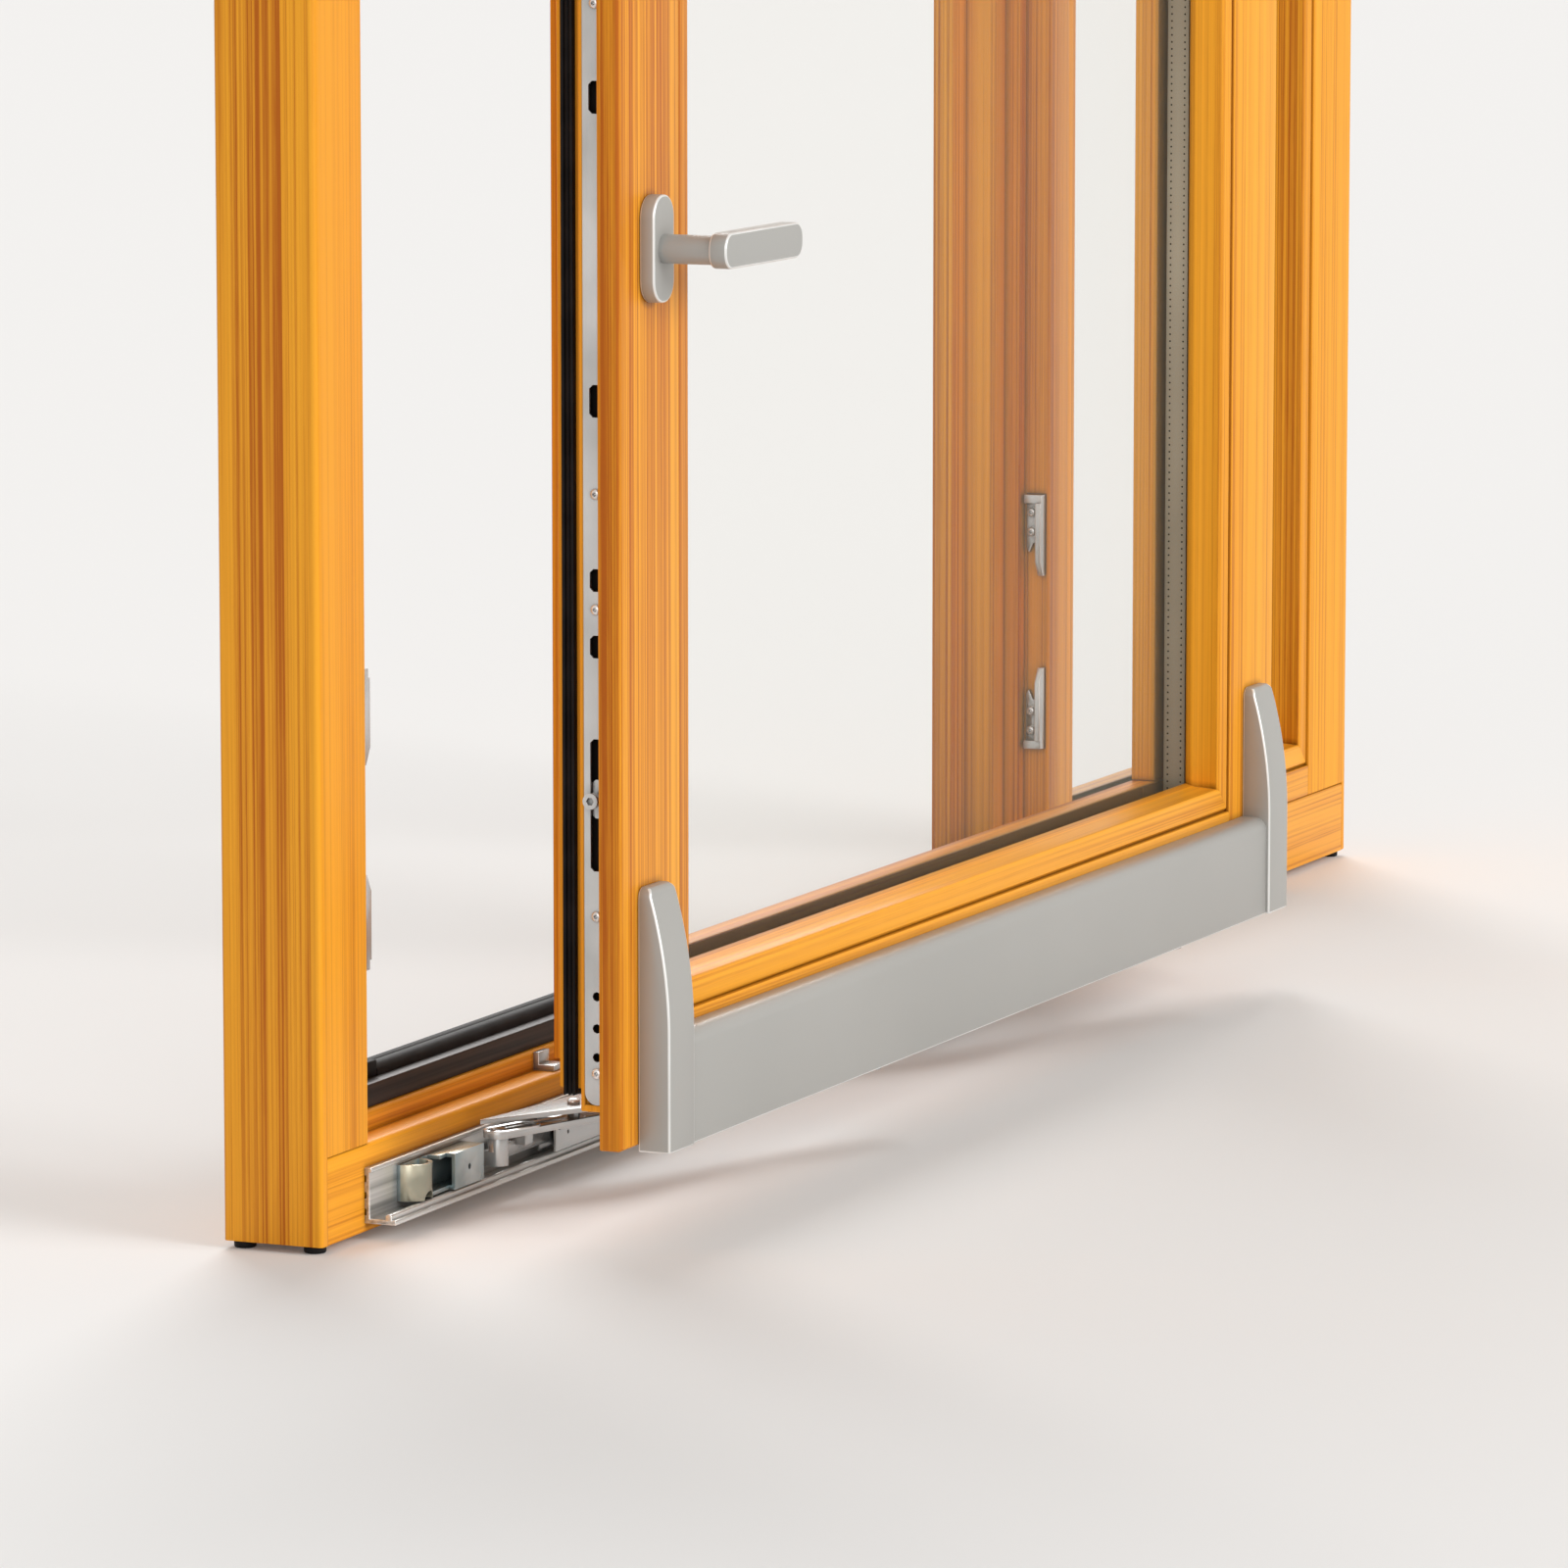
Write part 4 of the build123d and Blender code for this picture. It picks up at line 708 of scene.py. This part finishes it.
class WINDOW_OT_metalwork(bpy.types.Operator):
    """Covers, tracks, weather bar and steel fittings"""
    bl_idname = "window.metalwork"
    bl_label = "Metalwork"

    def execute(self, context):
        finish = finishes(context)
        looks = context.scene.window_looks
        for node in SILVER:
            soften(node, looks.cover_edge, finish["silver"], finish["silver_painted_highlight"])
        for node in TRACKS:
            soften(node, looks.metal_edge, finish["track"], finish["zinc_painted_highlight"])
        for node in ZINC:
            soften(node, looks.metal_edge, finish["zinc"], finish["zinc_painted_highlight"])
        soften("weather_bar", looks.metal_edge, finish["bronze"])
        self.colour_control_block(finish, looks.metal_edge)
        self.paint_channel_shade(finish["dark"])
        return {"FINISHED"}

    def colour_control_block(self, finish, edge):
        """The block's cup is yellow passivated, its box and back plate blue."""
        catch = soften("control_block", edge, finish["zinc_blue"], finish["zinc_painted_highlight"]).data
        catch.materials.append(finish["zinc_yellow"])
        blue, yellow = 0, 2
        low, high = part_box("control_block")
        for face in catch.polygons:
            in_cup = low.x < face.center.x < low.x + CUP_WIDTH * MM
            if in_cup and face.center.y < high.y - BLOCK_BASE * MM and face.material_index == blue:
                face.material_index = yellow

    def paint_channel_shade(self, dark):
        """Painted shade: dark sheets behind the faceplates' slots, where only shade falls."""
        strip = strip_pattern()
        low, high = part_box("gear_faceplates")
        depth = SASH_FRONT + FACEPLATE_DEPTH * MM
        middle = (low.z + high.z) / 2
        behind = CHANNEL_SHADE_DEPTH * MM
        places = [((low.x + behind, depth, middle), (-1, 0, 0))]
        places.append(((high.x - behind, depth, middle), (1, 0, 0)))
        row("gear_channel_floors", strip, places, CHANNEL_WIDTH * MM, dark, "gear_faceplates")
        put_away(strip)


class WINDOW_OT_screws(bpy.types.Operator):
    """Screws of the tracks, faceplates and strikers, and the arms' rivets and rims"""
    bl_idname = "window.screws"
    bl_label = "Screws"

    def execute(self, context):
        # painted highlight: screws, rivets and rims take the lighter copy of the zinc
        zinc, painted_highlight_zinc = finishes(context)["zinc"], finishes(context)["zinc_painted_highlight"]
        web = FRONT - TRACK_WEB * MM
        guide_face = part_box("head_guide")[0].y
        post_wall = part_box("strikers_left_post")[0].x + STRIKER_POCKET * MM
        mullion_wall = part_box("strikers_mullion")[1].x - STRIKER_POCKET * MM
        rows = [
            ("track_screws", track_screws("running_track", web), zinc, "running_track"),
            ("guide_screws", track_screws("head_guide", guide_face), zinc, "head_guide"),
            ("faceplate_screws", faceplate_screws(), painted_highlight_zinc, "gear_faceplates"),
            ("post_striker_screws", striker_screws(post_wall, 1), painted_highlight_zinc, "strikers_left_post"),
            ("mullion_striker_screws", striker_screws(mullion_wall, -1), painted_highlight_zinc, "strikers_mullion"),
        ]
        screw = screw_pattern()
        for name, places, finish, node in rows:
            row(name, screw, places, context.scene.window_looks.screw_radius, finish, node)
        put_away(screw)
        dome = dome_pattern()
        heads = [(on_arm(stud, along, 0, PLATE_TOP), (0, 0, 1)) for stud in STUDS for along in RIVETS]
        row("arm_rivets", dome, heads, RIVET_RADIUS * MM, painted_highlight_zinc, "swing_arms")
        put_away(dome)
        link_rims(painted_highlight_zinc)
        return {"FINISHED"}


class WINDOW_OT_stage(bpy.types.Operator):
    """Pale floor, soft light and the camera"""
    bl_idname = "window.stage"
    bl_label = "Stage"

    def execute(self, context):
        settings = context.scene.window_stage
        make_floor(settings)
        make_light(settings)
        make_camera(settings)
        context.scene.view_settings.view_transform = "Standard"
        return {"FINISHED"}


def seen_rays(tree):
    """One for camera, mirror and glass rays, nought for the rays that light things."""
    rays = add(tree, "ShaderNodeLightPath").outputs
    straight = add(tree, "ShaderNodeMath", {0: rays["Is Camera Ray"], 1: rays["Is Glossy Ray"]},
                   operation="MAXIMUM")
    both = {0: straight.outputs[0], 1: rays["Is Transmission Ray"]}
    return add(tree, "ShaderNodeMath", both, operation="MAXIMUM").outputs[0]


def make_floor(settings):
    """Pale paper sweep, matt; it glows faintly for the camera so that it stays pale round the shadow."""
    material, tree, shader = new_material(
        "Studio paper, pale", Base_Color=linear("#E2E1E0"), Roughness=1.0, Specular_IOR_Level=0.0,
        Emission_Color=linear("#F5F3EF"))
    lift = add(tree, "ShaderNodeMath", {0: seen_rays(tree), 1: 0.06}, operation="MULTIPLY")
    tree.links.new(lift.outputs[0], shader.inputs["Emission Strength"])
    half = settings.floor_size / 2
    mesh = bpy.data.meshes.new("studio_floor")
    corners = [(-half, -half, FLOOR), (half, -half, FLOOR), (half, half, FLOOR), (-half, half, FLOOR)]
    mesh.from_pydata(corners, [], [(0, 1, 2, 3)])
    mesh.materials.append(material)
    shown("studio_floor", mesh)


def make_sun(name, strength, softness, towards):
    """A sun this many degrees wide, with the direction that points back to it."""
    sun = bpy.data.lights.new(name, "SUN")
    sun.energy = strength
    sun.angle = math.radians(softness)
    lamp = bpy.data.objects.new(name, sun)
    lamp.rotation_euler = Vector(towards).to_track_quat("Z", "Y").to_euler()
    bpy.context.scene.collection.objects.link(lamp)


def make_light(settings):
    """Soft light on the faces from the room side and the left, from behind for the shadow, and a sky."""
    make_sun("front_light", settings.front_sun, softness=35, towards=(-0.06, -0.90, 0.42))
    make_sun("side_light", settings.side_sun, softness=40, towards=(-0.90, -0.30, 0.30))
    make_sun("back_light", settings.back_sun, softness=32, towards=(0.66, 0.34, 0.67))
    world = bpy.data.worlds.new("Studio")
    bpy.context.scene.world = world
    world.use_nodes = True
    tree = world.node_tree
    sky = tree.nodes["Background"]
    sky.inputs["Color"].default_value = linear("#FFFDFA")
    sky.inputs["Strength"].default_value = settings.sky
    seen = add(tree, "ShaderNodeBackground", {"Color": linear("#F5F2ED"), "Strength": 1.0})
    mix = add(tree, "ShaderNodeMixShader", {"Fac": seen_rays(tree), 1: sky.outputs[0], 2: seen.outputs[0]})
    tree.links.new(mix.outputs[0], tree.nodes["World Output"].inputs["Surface"])


def make_camera(settings):
    """The photo's camera."""
    yaw, pitch = math.radians(CAMERA_YAW), math.radians(CAMERA_PITCH)
    ahead = Vector((math.cos(yaw) * math.cos(pitch), math.sin(yaw) * math.cos(pitch), -math.sin(pitch)))
    right = Vector((math.sin(yaw), -math.cos(yaw), 0))
    up = right.cross(ahead)
    x, y, z = CAMERA_PLACE
    place = Vector((x * MM, y * MM + FRONT, z * MM + UNDERSIDE))
    data = bpy.data.cameras.new("photo_camera")
    data.sensor_width = 36.0
    data.lens = settings.lens
    data.clip_end = 200.0
    camera = bpy.data.objects.new("photo_camera", data)
    bpy.context.scene.collection.objects.link(camera)
    turned = Matrix((right, up, -ahead)).transposed().to_4x4()
    camera.matrix_world = Matrix.Translation(place) @ turned
    bpy.context.scene.camera = camera


class WINDOW_PT_panel(bpy.types.Panel):
    bl_label = "Window"
    bl_idname = "WINDOW_PT_panel"
    bl_space_type = "VIEW_3D"
    bl_region_type = "UI"
    bl_category = "Window"

    def draw(self, context):
        for settings in (context.scene.window_looks, context.scene.window_stage):
            for name in type(settings).__annotations__:
                self.layout.prop(settings, name)
        for operator in OPERATORS:
            self.layout.operator(operator.bl_idname)


OPERATORS = (WINDOW_OT_timber, WINDOW_OT_glazing, WINDOW_OT_seals, WINDOW_OT_metalwork)
OPERATORS += (WINDOW_OT_screws, WINDOW_OT_stage)
CLASSES = (WindowLooks, WindowStage, *OPERATORS, WINDOW_PT_panel)


def register():
    for cls in CLASSES:
        bpy.utils.register_class(cls)
    bpy.types.Scene.window_looks = bpy.props.PointerProperty(type=WindowLooks)
    bpy.types.Scene.window_stage = bpy.props.PointerProperty(type=WindowStage)


def unregister():
    del bpy.types.Scene.window_stage
    del bpy.types.Scene.window_looks
    for cls in reversed(CLASSES):
        bpy.utils.unregister_class(cls)


def main():
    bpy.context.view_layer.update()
    register()
    for operator in OPERATORS:
        group, name = operator.bl_idname.split(".")
        getattr(getattr(bpy.ops, group), name)()


if __name__ == "__main__":
    main()
